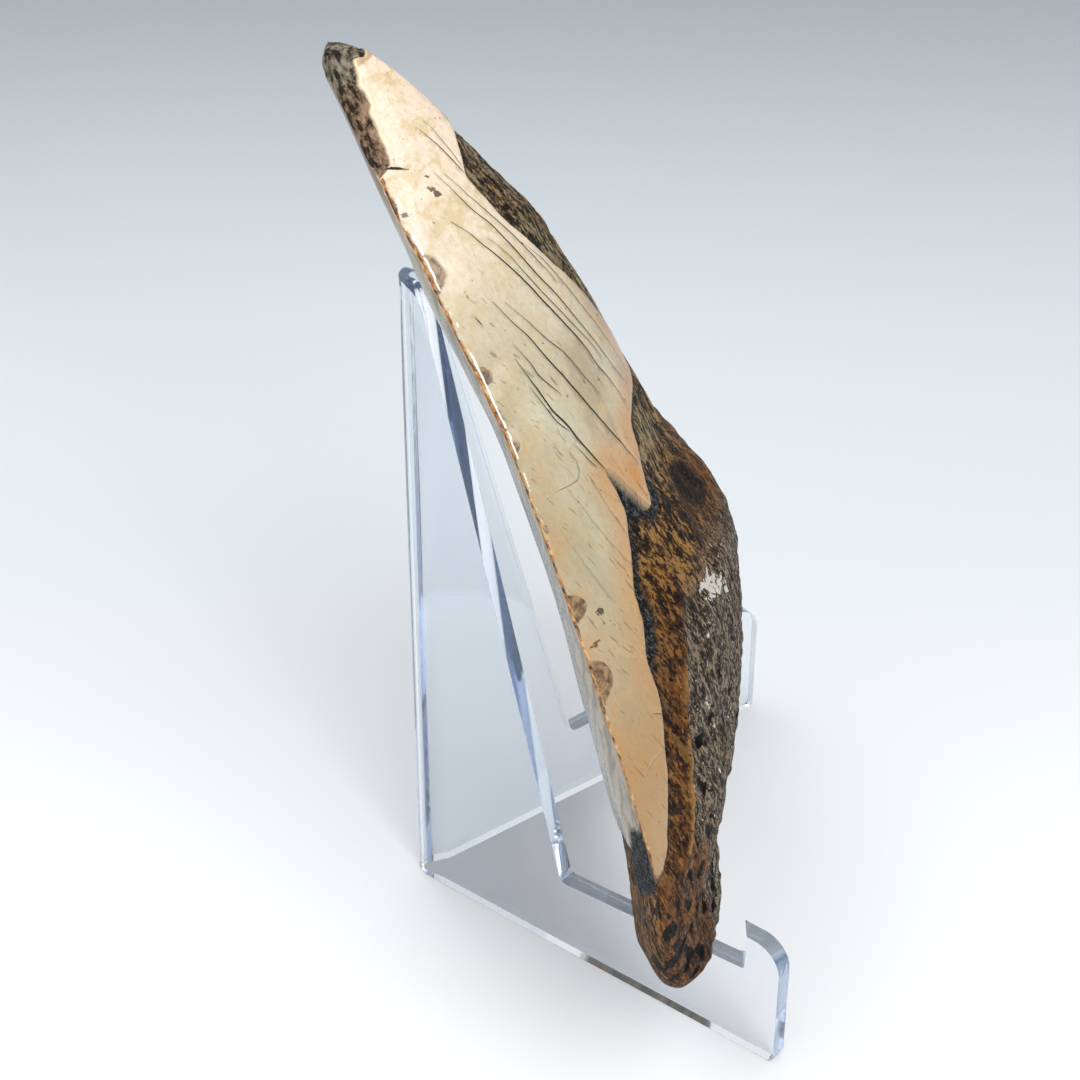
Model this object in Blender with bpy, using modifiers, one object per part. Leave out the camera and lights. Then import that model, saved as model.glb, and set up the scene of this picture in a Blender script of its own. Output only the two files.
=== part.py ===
"""A fossil shark tooth leaning in a clear, V-shaped display stand.

The tooth is a pillow of two skins, front and back, that meet along its outline: the two cutting edges, the
worn tip, and the underside of the two-lobed root. Each skin is a loft through a few level sections. The
stand is one moulded piece: two upright wings that meet at a rear spine, cut to one side profile each.

Metres, +Z up. The front, where the hooks and the bulging face of the tooth are, is towards -Y.
"""

import math

import bmesh
import bpy
from mathutils import Matrix, Vector, noise

MM = 0.001

# ---- Stand: one wing, as distances out from the spine (reach) and up from the table (height) ----
WING_ANGLE = math.radians(37.1)  # between a wing and the stand's middle plane
WALL = 1.95 * MM
SPINE_RADIUS = 1.2 * MM
STAND_HEIGHT = 75.3 * MM
WING_REACH = 48.6 * MM
TOP_FLAT = 1.6 * MM  # level stretch of the top edge before it rounds over
TOP_RADIUS = 3.5 * MM
LEAN_TOP = (5.1 * MM, 71.8 * MM)  # the slanted leaning edge, from under the rounded top ...
NOTCH = (21.7 * MM, 9.5 * MM)  # ... down to the inner corner of the arm
HOOK_BACK = (44.6 * MM, 10.9 * MM)
HOOK_HEIGHT = 15.4 * MM
HOOK_RADIUS = 3.4 * MM
TOE_RADIUS = 0.8 * MM
ARC_STEPS = 6

# ---- Tooth ----
SLANT_LENGTH = 96.0 * MM  # from the lobes' lowest points to the worn tip, along the tooth
LEAN_BACK = math.radians(20.9)
LOBE_FOOT = (29.65 * MM, 8.9 * MM)  # how far in front of the spine, and how high, the tooth's slope starts
UNDERSIDE_LOW = 1.75 * MM  # how far up the slope the lobes' lowest points are
UNDERSIDE_ARCH = 11.5 * MM  # how far the underside rises between the lobes
LOBE_AT = 0.69  # where the lobes are lowest, as a share of the half width
LOBE_CORNER = 5.0 * MM
UNDERSIDE_ROUND = 2.6 * MM
TIP_ROUND = 1.6 * MM

# Level sections: how far up the slope, half the width, how far the middle sheet bows to the front, and
# how far the front and the back skins stand off that sheet, in millimetres.
SECTIONS = (
    (0, 31.0, 1.0, 5.6, 3.6),
    (9, 34.8, 1.5, 6.0, 4.0),
    (16, 36.0, 3.0, 9.1, 3.4),
    (24, 33.8, 4.2, 10.8, 3.8),
    (34, 29.4, 4.5, 12.0, 3.1),
    (46, 23.6, 4.5, 9.6, 2.1),
    (58, 18.4, 4.3, 8.9, 2.3),
    (70, 13.1, 3.0, 8.8, 2.4),
    (82, 8.2, 1.4, 6.7, 1.2),
    (90, 4.2, 0.6, 4.5, 1.0),
    (96, 1.2, 0.0, 1.8, 0.8),
)
FRONT_POWER = 1.85  # the front skin is round from edge to edge ...
ROOT_RIM = 1.8 * MM  # ... with this much of it standing square at the root's sides
BACK_POWER = (7.0, 3.0)  # ... and the back skin is flatter, above all low down: at these two heights
BACK_POWER_AT = (34.0 * MM, 62.0 * MM)
ROOT_TOP = 24.0 * MM  # below this the sides are rounded, above they are cutting edges
CROWN_FROM = 12.0 * MM

# The enamel's inner border on the front: sideways and up the slope, in millimetres. Between the two borders the
# enamel has flaked off and the dark core lies lower.
BORDER_LEFT = (
    (-36, 20.6), (-34.4, 20.5), (-33, 21), (-32, 22), (-31, 23.5), (-29.3, 25.7), (-27.7, 27.8), (-26, 30.4),
    (-24.8, 32), (-23.9, 33.4), (-23, 35.5), (-22, 37.4), (-20.2, 39.4), (-18.8, 41.4), (-18, 42.6), (-16.2, 44.3),
    (-14.6, 46.2), (-13.3, 48.1), (-12.8, 50), (-12.4, 52), (-11.6, 49.1), (-11, 46.9), (-10.3, 45.4), (-9.5, 46),
    (-8.5, 48), (-7, 50.3), (-5.8, 52.3), (-3.6, 53.2), (-1.4, 53.8), (0.3, 55), (0.6, 58), (0, 61), (-1.4, 66),
    (-3, 70.5), (-3.7, 75), (-3.6, 78.2), (-3.2, 81), (-2.3, 82.3), (-1, 84), (0.8, 85.8),
)
BORDER_RIGHT = (
    (0.8, 85.8), (2.2, 82), (3.2, 77), (3, 71), (4.4, 64), (5.6, 58), (7.4, 55), (9.6, 52.5), (10.4, 47),
    (12.6, 44.5), (14.5, 46.5), (16.2, 43), (18.4, 38.6), (21.6, 36), (24, 31.8), (26.6, 28), (29.4, 24),
    (32.4, 20.8), (36, 19.8),
)
ENAMEL_STEP = 0.6 * MM
BACK_BORDER = (18.5 * MM, 8.0 * MM)  # the enamel's edge on the back: height at the sides, and its rise in the middle
ROOT_LEDGE = ((-14, 40), (-16, 37.6), (-18.4, 34.2), (-21, 31), (-23, 28.4), (-25, 24.6), (-27, 22), (-29.5, 19.4))

GRID_ACROSS = 40
GRID_UP = 54


def smooth_step(value, low, high):
    """0 below low, 1 above high, and smooth between."""
    share = min(max((value - low) / (high - low), 0.0), 1.0)
    return share * share * (3.0 - 2.0 * share)


def through(table, column, height):
    """One column of the sections at this height, on a smooth curve that never overshoots them."""
    heights = [row[0] * MM for row in table]
    values = [row[column] * MM for row in table]
    slopes = [(b - a) / (h - g) for a, b, g, h in zip(values, values[1:], heights, heights[1:])]
    tangents = [slopes[0]]
    for before, after in zip(slopes, slopes[1:]):
        tangents.append(2 * before * after / (before + after) if before * after > 0 else 0.0)
    tangents.append(slopes[-1])
    last = len(heights) - 2
    span = next((i for i in range(last) if height < heights[i + 1]), last)
    width = heights[span + 1] - heights[span]
    t = min(max((height - heights[span]) / width, 0.0), 1.0)
    start, end = values[span], values[span + 1]
    rise, fall = tangents[span] * width, tangents[span + 1] * width
    bend = 2 * (start - end) + rise + fall
    lift = 3 * (end - start) - 2 * rise - fall
    return ((bend * t + lift) * t + rise) * t + start


def underside(across):
    """How far up the slope the root's underside lies, from edge to edge (-1 to 1)."""
    share = abs(across) / LOBE_AT
    if share < 1.0:
        return UNDERSIDE_LOW + UNDERSIDE_ARCH * (1.0 - share * share) ** 1.8
    beyond = (abs(across) - LOBE_AT) / (1.0 - LOBE_AT)
    return UNDERSIDE_LOW + LOBE_CORNER * (1.0 - math.sqrt(max(1.0 - beyond * beyond, 0.0)))


def distance_to_line(x, y, line):
    """Distance from a point to a broken line, both in millimetres."""
    nearest = 1e9
    for (ax, ay), (bx, by) in zip(line, line[1:]):
        dx, dy = bx - ax, by - ay
        t = min(max(((x - ax) * dx + (y - ay) * dy) / (dx * dx + dy * dy), 0.0), 1.0)
        nearest = min(nearest, math.hypot(x - ax - t * dx, y - ay - t * dy))
    return nearest


def inside(x, y, outline):
    """True if a point is inside a closed outline, both in millimetres."""
    hit = False
    for (ax, ay), (bx, by) in zip(outline, outline[1:] + outline[:1]):
        if (ay > y) != (by > y) and x < ax + (y - ay) / (by - ay) * (bx - ax):
            hit = not hit
    return hit


BARE_CORE = BORDER_LEFT + BORDER_RIGHT[1:] + ((60, 19.8), (60, -30), (-60, -30), (-60, 20.6))


def lumps(point, size, seed):
    """Smooth random lumps of this size, from -1 to 1."""
    return noise.noise(point / size + Vector((seed, seed * 1.7, -seed)))


def front_relief(x, y, point):
    """How far the front skin is raised at x sideways and y up the slope, in millimetres for both."""
    edge = distance_to_line(x, y, BORDER_LEFT + BORDER_RIGHT[1:])
    bare = inside(x, y, BARE_CORE)
    enamel = smooth_step(-edge if bare else edge, -0.7, 0.5)
    raised = ENAMEL_STEP * enamel
    root = 1.0 - enamel
    raised += root * (0.45 * lumps(point, 9 * MM, 1.0) + 0.3 * lumps(point, 3.5 * MM, 2.0)) * MM
    raised += 0.12 * MM * enamel * lumps(point, 12 * MM, 3.0)
    grain = point + Vector((0.0, 0.0, -0.82 * point.z))
    raised += root * 0.25 * MM * lumps(grain, 2.2 * MM, 4.0)
    raised -= root * 1.1 * MM * dent(x, y, -2.0, 41.5, 2.6, 5.0)
    raised += root * 0.9 * MM * dent(x, y, 1.0, 34.0, 13.0, 9.0)
    below = distance_to_line(x, y, ROOT_LEDGE)
    raised += root * 0.55 * MM * math.exp(-((below / 1.3) ** 2))
    return raised - lobe_pits(x, y, point)


def dent(x, y, at_x, at_y, wide, tall):
    """A soft round mark, 1 at its middle and fading over its width and height, in millimetres."""
    return math.exp(-(((x - at_x) / wide) ** 2) - ((y - at_y) / tall) ** 2)


def lobe_pits(x, y, point):
    """Depth of the pits that roots have, deepest near the lobes' ends."""
    pitted = smooth_step(14.0 - y, -8.0, 6.0)
    cell = noise.noise(point / (2.4 * MM) + Vector((7.0, 3.0, 5.0)))
    return 0.9 * MM * pitted * smooth_step(cell, 0.25, 0.6)


def back_relief(x, y, point, across):
    """How far the back skin is raised."""
    border = BACK_BORDER[0] + BACK_BORDER[1] * (1.0 - across * across)
    enamel = smooth_step(y * MM - border, -0.8 * MM, 0.6 * MM)
    raised = 0.4 * MM * enamel
    raised += (1.0 - enamel) * (0.4 * lumps(point, 7 * MM, 5.0) + 0.25 * lumps(point, 3 * MM, 6.0)) * MM
    return raised - 0.5 * lobe_pits(x, y, point)


def edge_chips(x, y):
    """How much of the left cutting edge has broken away, in millimetres."""
    chips = 0.0
    for at, size, deep in ((77.0, 2.4, 0.5), (67.0, 1.4, 0.35), (62.0, 1.3, 0.35), (52.5, 1.5, 0.3), (41.0, 2.2, 0.4)):
        chips += deep * math.exp(-(((y - at) / size) ** 2)) if x < 0 else 0.0
    return chips


def tooth_point(front, across, rise):
    """A point of the front or back skin: across from -1 to 1, rise from the underside (0) to the tip (1)."""
    start = underside(across)
    height = start + (SLANT_LENGTH - start) * rise
    half = through(SECTIONS, 1, height)
    sheet = through(SECTIONS, 2, height)
    crown = smooth_step(height, CROWN_FROM, ROOT_TOP)
    rounding = 0.5 + 0.5 * crown
    side = abs(across)
    rim = ROOT_RIM * (1.0 - crown)
    swell = (through(SECTIONS, 3, height) - rim) * (1.0 - side**FRONT_POWER) + rim * math.sqrt(1.0 - side**8)
    low_power, high_power = BACK_POWER
    power = low_power + (high_power - low_power) * smooth_step(height, *BACK_POWER_AT)
    flat = through(SECTIONS, 4, height) * (1.0 - side**power) ** rounding
    if front:
        closing = ends_closed(height, start)
        depth = sheet + (0.5 * (swell - flat)) * (1.0 - closing) + swell * closing
    else:
        closing = ends_closed(height, start)
        depth = sheet + (0.5 * (swell - flat)) * (1.0 - closing) - flat * closing
    x = across * half
    y_mm = height / MM
    x += edge_chips(x, y_mm) * MM * side**4
    bare_point = Vector((x, depth, height))
    fade = closing * min(1.0, (1.0 - side**6) * 1.5)
    if front:
        depth += fade * front_relief(x / MM, y_mm, bare_point)
    else:
        depth -= fade * back_relief(x / MM, y_mm, bare_point, across)
    return lean(x, depth, height)


def ends_closed(height, start):
    """0 where the two skins meet, at the underside and the tip, and 1 where they are their full distance apart."""
    foot = min((height - start) / UNDERSIDE_ROUND, 1.0)
    tip = min((SLANT_LENGTH - height) / TIP_ROUND, 1.0)
    return math.sqrt(max(1.0 - (1.0 - foot) ** 2, 0.0)) * math.sqrt(max(1.0 - (1.0 - tip) ** 2, 0.0))


def lean(x, depth, height):
    """From the tooth's own slope to the stand: depth is towards the front, height is up the slope."""
    forward, up = LOBE_FOOT
    forward += -height * math.sin(LEAN_BACK) + depth * math.cos(LEAN_BACK)
    up += height * math.cos(LEAN_BACK) + depth * math.sin(LEAN_BACK)
    return Vector((x, -forward, up))


def across_at(step):
    """Grid columns, closer together near the two edges."""
    t = 2.0 * step / GRID_ACROSS - 1.0
    return 0.45 * t + 0.55 * math.sin(0.5 * math.pi * t)


def rise_at(step):
    """Grid rows, closer together at the underside and the tip."""
    t = step / GRID_UP
    return t - 0.145 * math.sin(2.0 * math.pi * t)


def make_tooth():
    """The tooth as one closed body: the two skins share every point of the outline."""
    shape = bmesh.new()
    rim = {}

    def vertex(front, column, row):
        on_rim = column in (0, GRID_ACROSS) or row in (0, GRID_UP)
        if on_rim and (column, row) in rim:
            return rim[(column, row)]
        made = shape.verts.new(tooth_point(front, across_at(column), rise_at(row)))
        if on_rim:
            rim[(column, row)] = made
        return made

    for front in (True, False):
        grid = [[vertex(front, c, r) for c in range(GRID_ACROSS + 1)] for r in range(GRID_UP + 1)]
        for row in range(GRID_UP):
            for column in range(GRID_ACROSS):
                corners = [grid[row][column], grid[row][column + 1], grid[row + 1][column + 1], grid[row + 1][column]]
                shape.faces.new(corners if front else corners[::-1])
    bmesh.ops.triangulate(shape, faces=shape.faces[:])
    bmesh.ops.recalc_face_normals(shape, faces=shape.faces[:])
    return finish_mesh(shape, "fossil_tooth")


def finish_mesh(shape, name):
    """Writes a bmesh to a new object."""
    mesh = bpy.data.meshes.new(name)
    shape.to_mesh(mesh)
    shape.free()
    return bpy.data.objects.new(name, mesh)


def arc(centre, radius, start, end, steps=ARC_STEPS):
    """Points of an arc, from one angle to another in degrees."""
    angles = [math.radians(start + (end - start) * i / steps) for i in range(steps + 1)]
    return [(centre[0] + radius * math.cos(a), centre[1] + radius * math.sin(a)) for a in angles]


def wing_outline():
    """One wing's side profile: reach from the spine, height from the table."""
    slant = math.degrees(math.atan2(NOTCH[1] - LEAN_TOP[1], NOTCH[0] - LEAN_TOP[0])) + 90.0
    top = arc((TOP_FLAT, STAND_HEIGHT - TOP_RADIUS), TOP_RADIUS, 90.0, slant)
    hook = arc((WING_REACH - HOOK_RADIUS, HOOK_HEIGHT - HOOK_RADIUS), HOOK_RADIUS, 78.0, 0.0)
    toe = arc((WING_REACH - TOE_RADIUS, TOE_RADIUS), TOE_RADIUS, 0.0, -90.0, 3)
    back = -4.0 * MM
    return [(back, 0.0), (back, STAND_HEIGHT), *top, LEAN_TOP, NOTCH, HOOK_BACK, (HOOK_BACK[0], HOOK_HEIGHT), *hook, *toe]


def flat_plate(name, outline, thickness):
    """A flat plate of this outline, as a mesh in its own XY plane."""
    curve = bpy.data.curves.new(name, "CURVE")
    curve.dimensions = "2D"
    curve.fill_mode = "BOTH"
    curve.extrude = thickness / 2.0
    spline = curve.splines.new("POLY")
    spline.points.add(len(outline) - 1)
    for point, (x, y) in zip(spline.points, outline):
        point.co = (x, y, 0.0, 1.0)
    spline.use_cyclic_u = True
    holder = bpy.data.objects.new(name, curve)
    bpy.context.scene.collection.objects.link(holder)
    bpy.context.view_layer.update()
    mesh = bpy.data.meshes.new_from_object(holder.evaluated_get(bpy.context.evaluated_depsgraph_get()))
    bpy.data.objects.remove(holder)
    bpy.data.curves.remove(curve)
    shape = bmesh.new()
    shape.from_mesh(mesh)
    bmesh.ops.remove_doubles(shape, verts=shape.verts[:], dist=0.001 * MM)
    bpy.data.meshes.remove(mesh)
    return shape


def make_stand():
    """The stand: one wing, halved at the middle plane and mirrored, with the spine's outer corner rounded."""
    shape = flat_plate("wing", wing_outline(), WALL)
    skew_hook(shape)
    upright = Matrix(((1, 0, 0, 0), (0, 0, 1, 0), (0, 1, 0, 0), (0, 0, 0, 1)))
    inward = Matrix.Translation((0.0, -WALL / 2.0, 0.0))
    turn = Matrix.Rotation(WING_ANGLE - math.pi / 2.0, 4, "Z")
    bmesh.ops.transform(shape, matrix=turn @ inward @ upright, verts=shape.verts[:])
    bmesh.ops.bisect_plane(
        shape,
        geom=shape.verts[:] + shape.edges[:] + shape.faces[:],
        plane_co=(0.0, 0.0, 0.0),
        plane_no=(1.0, 0.0, 0.0),
        clear_inner=True,
        dist=0.0001 * MM,
    )
    bmesh.ops.recalc_face_normals(shape, faces=shape.faces[:])
    stand = finish_mesh(shape, "display_stand")
    mirror = stand.modifiers.new("other wing", "MIRROR")
    mirror.merge_threshold = 0.01 * MM
    return stand


def skew_hook(shape):
    """Turns the hook's back face square to the stand's middle plane, as the mould leaves it."""
    for vertex in shape.verts:
        on_back = abs(vertex.co.x - HOOK_BACK[0]) < 0.01 * MM and vertex.co.y > NOTCH[1]
        if on_back and vertex.co.z < 0.0:
            vertex.co.x -= WALL * math.tan(WING_ANGLE)


def round_spine(stand, cutters):
    """Rounds the spine's outer corner with a cutter that is a corner block less a round bar."""
    reach = SPINE_RADIUS / math.sin(WING_ANGLE)
    shape = bmesh.new()
    steps = 8
    opening = math.pi / 2.0 - WING_ANGLE
    arc_points = []
    for i in range(steps + 1):
        turn = -opening + 2.0 * opening * i / steps
        arc_points.append((SPINE_RADIUS * math.sin(turn), -reach + SPINE_RADIUS * math.cos(turn)))
    outline = [*arc_points, (4.0 * MM, arc_points[-1][1]), (4.0 * MM, 3.0 * MM), (-4.0 * MM, 3.0 * MM),
               (-4.0 * MM, arc_points[0][1])]
    base = [shape.verts.new((x, y, -1.0 * MM)) for x, y in outline]
    face = shape.faces.new(base)
    raised = bmesh.ops.extrude_face_region(shape, geom=[face])
    up = [v for v in raised["geom"] if isinstance(v, bmesh.types.BMVert)]
    bmesh.ops.translate(shape, vec=(0.0, 0.0, STAND_HEIGHT + 2.0 * MM), verts=up)
    bmesh.ops.recalc_face_normals(shape, faces=shape.faces[:])
    cutter = finish_mesh(shape, "spine_cutter")
    cutter.hide_render = True
    cutter.display_type = "WIRE"
    cutters.objects.link(cutter)
    cut = stand.modifiers.new("round spine", "BOOLEAN")
    cut.operation = "DIFFERENCE"
    cut.solver = "EXACT"
    cut.object = cutter


def finish(name, colour, roughness, alpha=1.0):
    """A plain material."""
    material = bpy.data.materials.new(name)
    material.use_nodes = True
    surface = material.node_tree.nodes["Principled BSDF"]
    surface.inputs["Base Color"].default_value = (*colour, 1.0)
    surface.inputs["Roughness"].default_value = roughness
    surface.inputs["Metallic"].default_value = 0.0
    surface.inputs["Alpha"].default_value = alpha
    return material


def bounds(objects):
    """Lowest and highest corner of the objects as they are shown."""
    bpy.context.view_layer.update()
    graph = bpy.context.evaluated_depsgraph_get()
    corners = []
    for piece in objects:
        shown = piece.evaluated_get(graph)
        mesh = shown.to_mesh()
        corners += [shown.matrix_world @ vertex.co for vertex in mesh.vertices]
        shown.to_mesh_clear()
    low = Vector(min(c[i] for c in corners) for i in range(3))
    high = Vector(max(c[i] for c in corners) for i in range(3))
    return low, high


def clear_scene():
    """Removes whatever the scene holds."""
    for thing in list(bpy.data.objects):
        bpy.data.objects.remove(thing)


def main():
    """Builds the tooth and its stand, with the frame's origin under the middle of the whole."""
    clear_scene()
    parts = bpy.data.collections.new("fossil_tooth_on_stand")
    cutters = bpy.data.collections.new("cutters")
    for group in (parts, cutters):
        bpy.context.scene.collection.children.link(group)
    tooth = make_tooth()
    stand = make_stand()
    for piece in (tooth, stand):
        parts.objects.link(piece)
    round_spine(stand, cutters)
    tooth.data.materials.append(finish("fossil", (0.62, 0.5, 0.33), 0.45))
    stand.data.materials.append(finish("clear_plastic", (0.85, 0.9, 0.95), 0.08, 0.35))
    tooth.data.shade_smooth()
    low, high = bounds((tooth, stand))
    shift = Matrix.Translation((-(low.x + high.x) / 2.0, -(low.y + high.y) / 2.0, -low.z))
    tooth.data.transform(shift)
    stand.location = shift.translation
    for cutter in cutters.objects:
        cutter.location = shift.translation


main()
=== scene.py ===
"""A large fossil shark tooth leaning in a clear, V-shaped display stand, dressed for show.

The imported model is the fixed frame: the stand's spine says where everything is. The tooth is one closed skin,
made as two height fields, front and back, over the tooth's own face, with the enamel's broken border, the long
cracks, the scars, the fibrous core and the pitted root as real relief. The stand is one moulded piece with soft
edges. Lengths are in millimetres in the tooth and stand classes, and in metres in the scene.
"""

import logging
import math
from dataclasses import dataclass, field
from enum import Enum
from functools import cached_property

import bmesh
import bpy
import numpy as np
from mathutils import Matrix, Vector, kdtree, noise
from mathutils.geometry import delaunay_2d_cdt

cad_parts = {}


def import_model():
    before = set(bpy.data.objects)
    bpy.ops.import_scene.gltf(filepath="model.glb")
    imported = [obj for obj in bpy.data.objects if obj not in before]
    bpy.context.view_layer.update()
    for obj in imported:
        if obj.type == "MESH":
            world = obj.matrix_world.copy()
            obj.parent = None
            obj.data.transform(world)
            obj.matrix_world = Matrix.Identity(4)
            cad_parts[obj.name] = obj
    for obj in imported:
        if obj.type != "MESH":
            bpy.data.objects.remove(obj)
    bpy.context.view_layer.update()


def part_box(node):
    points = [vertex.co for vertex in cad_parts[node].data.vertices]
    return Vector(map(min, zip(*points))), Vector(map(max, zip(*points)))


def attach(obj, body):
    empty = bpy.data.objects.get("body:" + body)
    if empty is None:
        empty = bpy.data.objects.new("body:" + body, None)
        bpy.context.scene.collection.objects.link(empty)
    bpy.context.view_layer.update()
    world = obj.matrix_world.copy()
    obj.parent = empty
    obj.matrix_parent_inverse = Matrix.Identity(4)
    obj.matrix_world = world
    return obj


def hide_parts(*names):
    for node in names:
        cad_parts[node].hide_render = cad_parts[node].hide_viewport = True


LOG = logging.getLogger("tooth_on_stand")
MM = 0.001

Array = np.ndarray
Pair = tuple[float, float]
Line = tuple[Pair, ...]


class Skin(Enum):
    """The two faces of the tooth."""

    FRONT = "front"
    BACK = "back"


class Slot(Enum):
    """The record's material slots."""

    FOSSIL = "fossil"
    CLEAR = "clear_plastic"


# ---------------------------------------------------------------- curves and fields


def smooth_step(value: Array, low: float, high: float) -> Array:
    """Rises smoothly from 0 at low to 1 at high.

    Args:
        value: Where to read it.
        low: Start of the rise.
        high: End of the rise; below low, the step falls instead.

    Returns:
        The share, from 0 to 1.
    """
    share = np.clip((value - low) / (high - low), 0.0, 1.0)
    return share * share * (3.0 - 2.0 * share)


def bump(value: Array, middle: float, width: float) -> Array:
    """A soft hump, 1 at its middle, that fades over its width."""
    return np.exp(-(((value - middle) / width) ** 2))


@dataclass(frozen=True)
class Profile:
    """A smooth curve through design values that never overshoots them."""

    places: tuple[float, ...]
    values: tuple[float, ...]

    def at(self, place: Array) -> Array:
        """The curve's value at each place."""
        x, y = np.array(self.places), np.array(self.values)
        gaps = np.diff(x)
        slopes = np.diff(y) / gaps
        same = slopes[:-1] * slopes[1:] > 0
        total = np.where(same, slopes[:-1] + slopes[1:], 1.0)
        inner = np.where(same, 2.0 * slopes[:-1] * slopes[1:] / total, 0.0)
        tangents = np.concatenate([slopes[:1], inner, slopes[-1:]])
        span = np.clip(np.searchsorted(x, place, side="right") - 1, 0, len(gaps) - 1)
        t = np.clip((place - x[span]) / gaps[span], 0.0, 1.0)
        start, end = y[span], y[span + 1]
        rise, fall = tangents[span] * gaps[span], tangents[span + 1] * gaps[span]
        bend = 2.0 * (start - end) + rise + fall
        lift = 3.0 * (end - start) - 2.0 * rise - fall
        return ((bend * t + lift) * t + rise) * t + start


def sideways(line: Array) -> Array:
    """Unit steps to the left of a line, one at each of its points."""
    run = np.gradient(line, axis=0)
    run /= np.linalg.norm(run, axis=1)[:, None] + 1e-9
    return np.stack([-run[:, 1], run[:, 0]], axis=1)


def flowing(line: Line, step: float = 0.5, wander: float = 0.0, seed: float = 0.0) -> Array:
    """A smooth line through a few points, with small natural wander.

    Args:
        line: The points, in millimetres.
        step: Distance between the points put out.
        wander: How far the line strays to either side.
        seed: Picks the wander.

    Returns:
        The points of the smooth line.
    """
    knots = np.array(line, float)
    padded = np.vstack([2 * knots[0] - knots[1], knots, 2 * knots[-1] - knots[-2]])
    points = [knots[0]]
    for a, b, c, d in zip(padded, padded[1:], padded[2:], padded[3:]):
        steps = max(1, round(float(np.linalg.norm(c - b)) / step))
        for i in range(1, steps + 1):
            t = i / steps
            points.append(
                0.5 * (2 * b + (c - a) * t + (2 * a - 5 * b + 4 * c - d) * t * t + (3 * b - a - 3 * c + d) * t**3)
            )
    made = np.array(points)
    if wander:
        length = np.concatenate([[0.0], np.cumsum(np.linalg.norm(np.diff(made, axis=0), axis=1))])
        waves = ((1.0, 1.7, 0.5), (0.5, 0.6, 3.5))  # share, length and seed of each
        stray = [sum(share * noise.noise(Vector((s / long, seed, own))) for share, long, own in waves) for s in length]
        made += wander * np.array(stray)[:, None] * sideways(made)
    return made


def nearest_on_line(x: Array, y: Array, line: Array) -> tuple[Array, Array]:
    """Distance from each point to a broken line, and how far along the line the nearest place is.

    Args:
        x: Points, sideways.
        y: Points, up the slope.
        line: The line's points.

    Returns:
        The distances, and the places along the line from 0 to 1.
    """
    nearest = np.full(x.shape, 1e9)
    along = np.zeros(x.shape)
    lengths = np.linalg.norm(np.diff(line, axis=0), axis=1)
    before = np.concatenate([[0.0], np.cumsum(lengths)])
    for (ax, ay), (bx, by), start, length in zip(line, line[1:], before, lengths):
        dx, dy = bx - ax, by - ay
        t = np.clip(((x - ax) * dx + (y - ay) * dy) / (length * length + 1e-12), 0.0, 1.0)
        far = np.hypot(x - ax - t * dx, y - ay - t * dy)
        closer = far < nearest
        nearest = np.where(closer, far, nearest)
        along = np.where(closer, (start + t * length) / before[-1], along)
    return nearest, along


def is_inside(x: Array, y: Array, outline: Array) -> Array:
    """True where a point lies inside a closed outline."""
    hit = np.zeros(x.shape, bool)
    for (ax, ay), (bx, by) in zip(outline, np.roll(outline, -1, axis=0)):
        crossing = (ay > y) != (by > y)
        hit ^= crossing & (x < ax + (y - ay) / (by - ay + 1e-12) * (bx - ax))
    return hit


def close_to(x: Array, y: Array, line: Array) -> Array:
    """Numbers of the points that lie within a millimetre of a line's box."""
    low, high = line.min(axis=0) - 1.0, line.max(axis=0) + 1.0
    return np.flatnonzero((x > low[0]) & (x < high[0]) & (y > low[1]) & (y < high[1]))


def signed_distance(x: Array, y: Array, outline: Array) -> Array:
    """Distance to a closed outline, positive inside it."""
    closed = np.vstack([outline, outline[:1]])
    far, _ = nearest_on_line(x, y, closed)
    return np.where(is_inside(x, y, outline), far, -far)


def lumps(points: Array, size: float, seed: float, stretch: float = 1.0) -> Array:
    """Smooth random lumps, from -1 to 1.

    Args:
        points: One row a point: sideways, depth and height.
        size: Size of a lump, in the points' own unit.
        seed: Picks the lumps.
        stretch: Below 1, draws the lumps out up the slope.

    Returns:
        One value a point.
    """
    moved = points * (1.0, 1.0, stretch) / size + np.array((seed, seed * 1.7, -seed))
    return np.array([noise.noise(Vector(p)) for p in moved])


@dataclass(frozen=True)
class Mound:
    """A soft round hump: its middle, its reach sideways and up the slope, and how high it stands."""

    middle: Pair
    reach: Pair
    high: float = 1.0

    def at(self, x: Array, y: Array) -> Array:
        """Its height at each point."""
        right, up = (x - self.middle[0]) / self.reach[0], (y - self.middle[1]) / self.reach[1]
        return self.high * np.exp(-(right**2) - up**2)


@dataclass(frozen=True)
class Relief:
    """A layer of random lumps: how high it stands, the lumps' size, its seed, and its stretch up the slope."""

    high: float
    size: float
    seed: float
    stretch: float = 1.0

    def at(self, points: Array) -> Array:
        """Its height at each point."""
        return self.high * lumps(points, self.size, self.seed, self.stretch)


# ---------------------------------------------------------------- the tooth's shape


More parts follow.
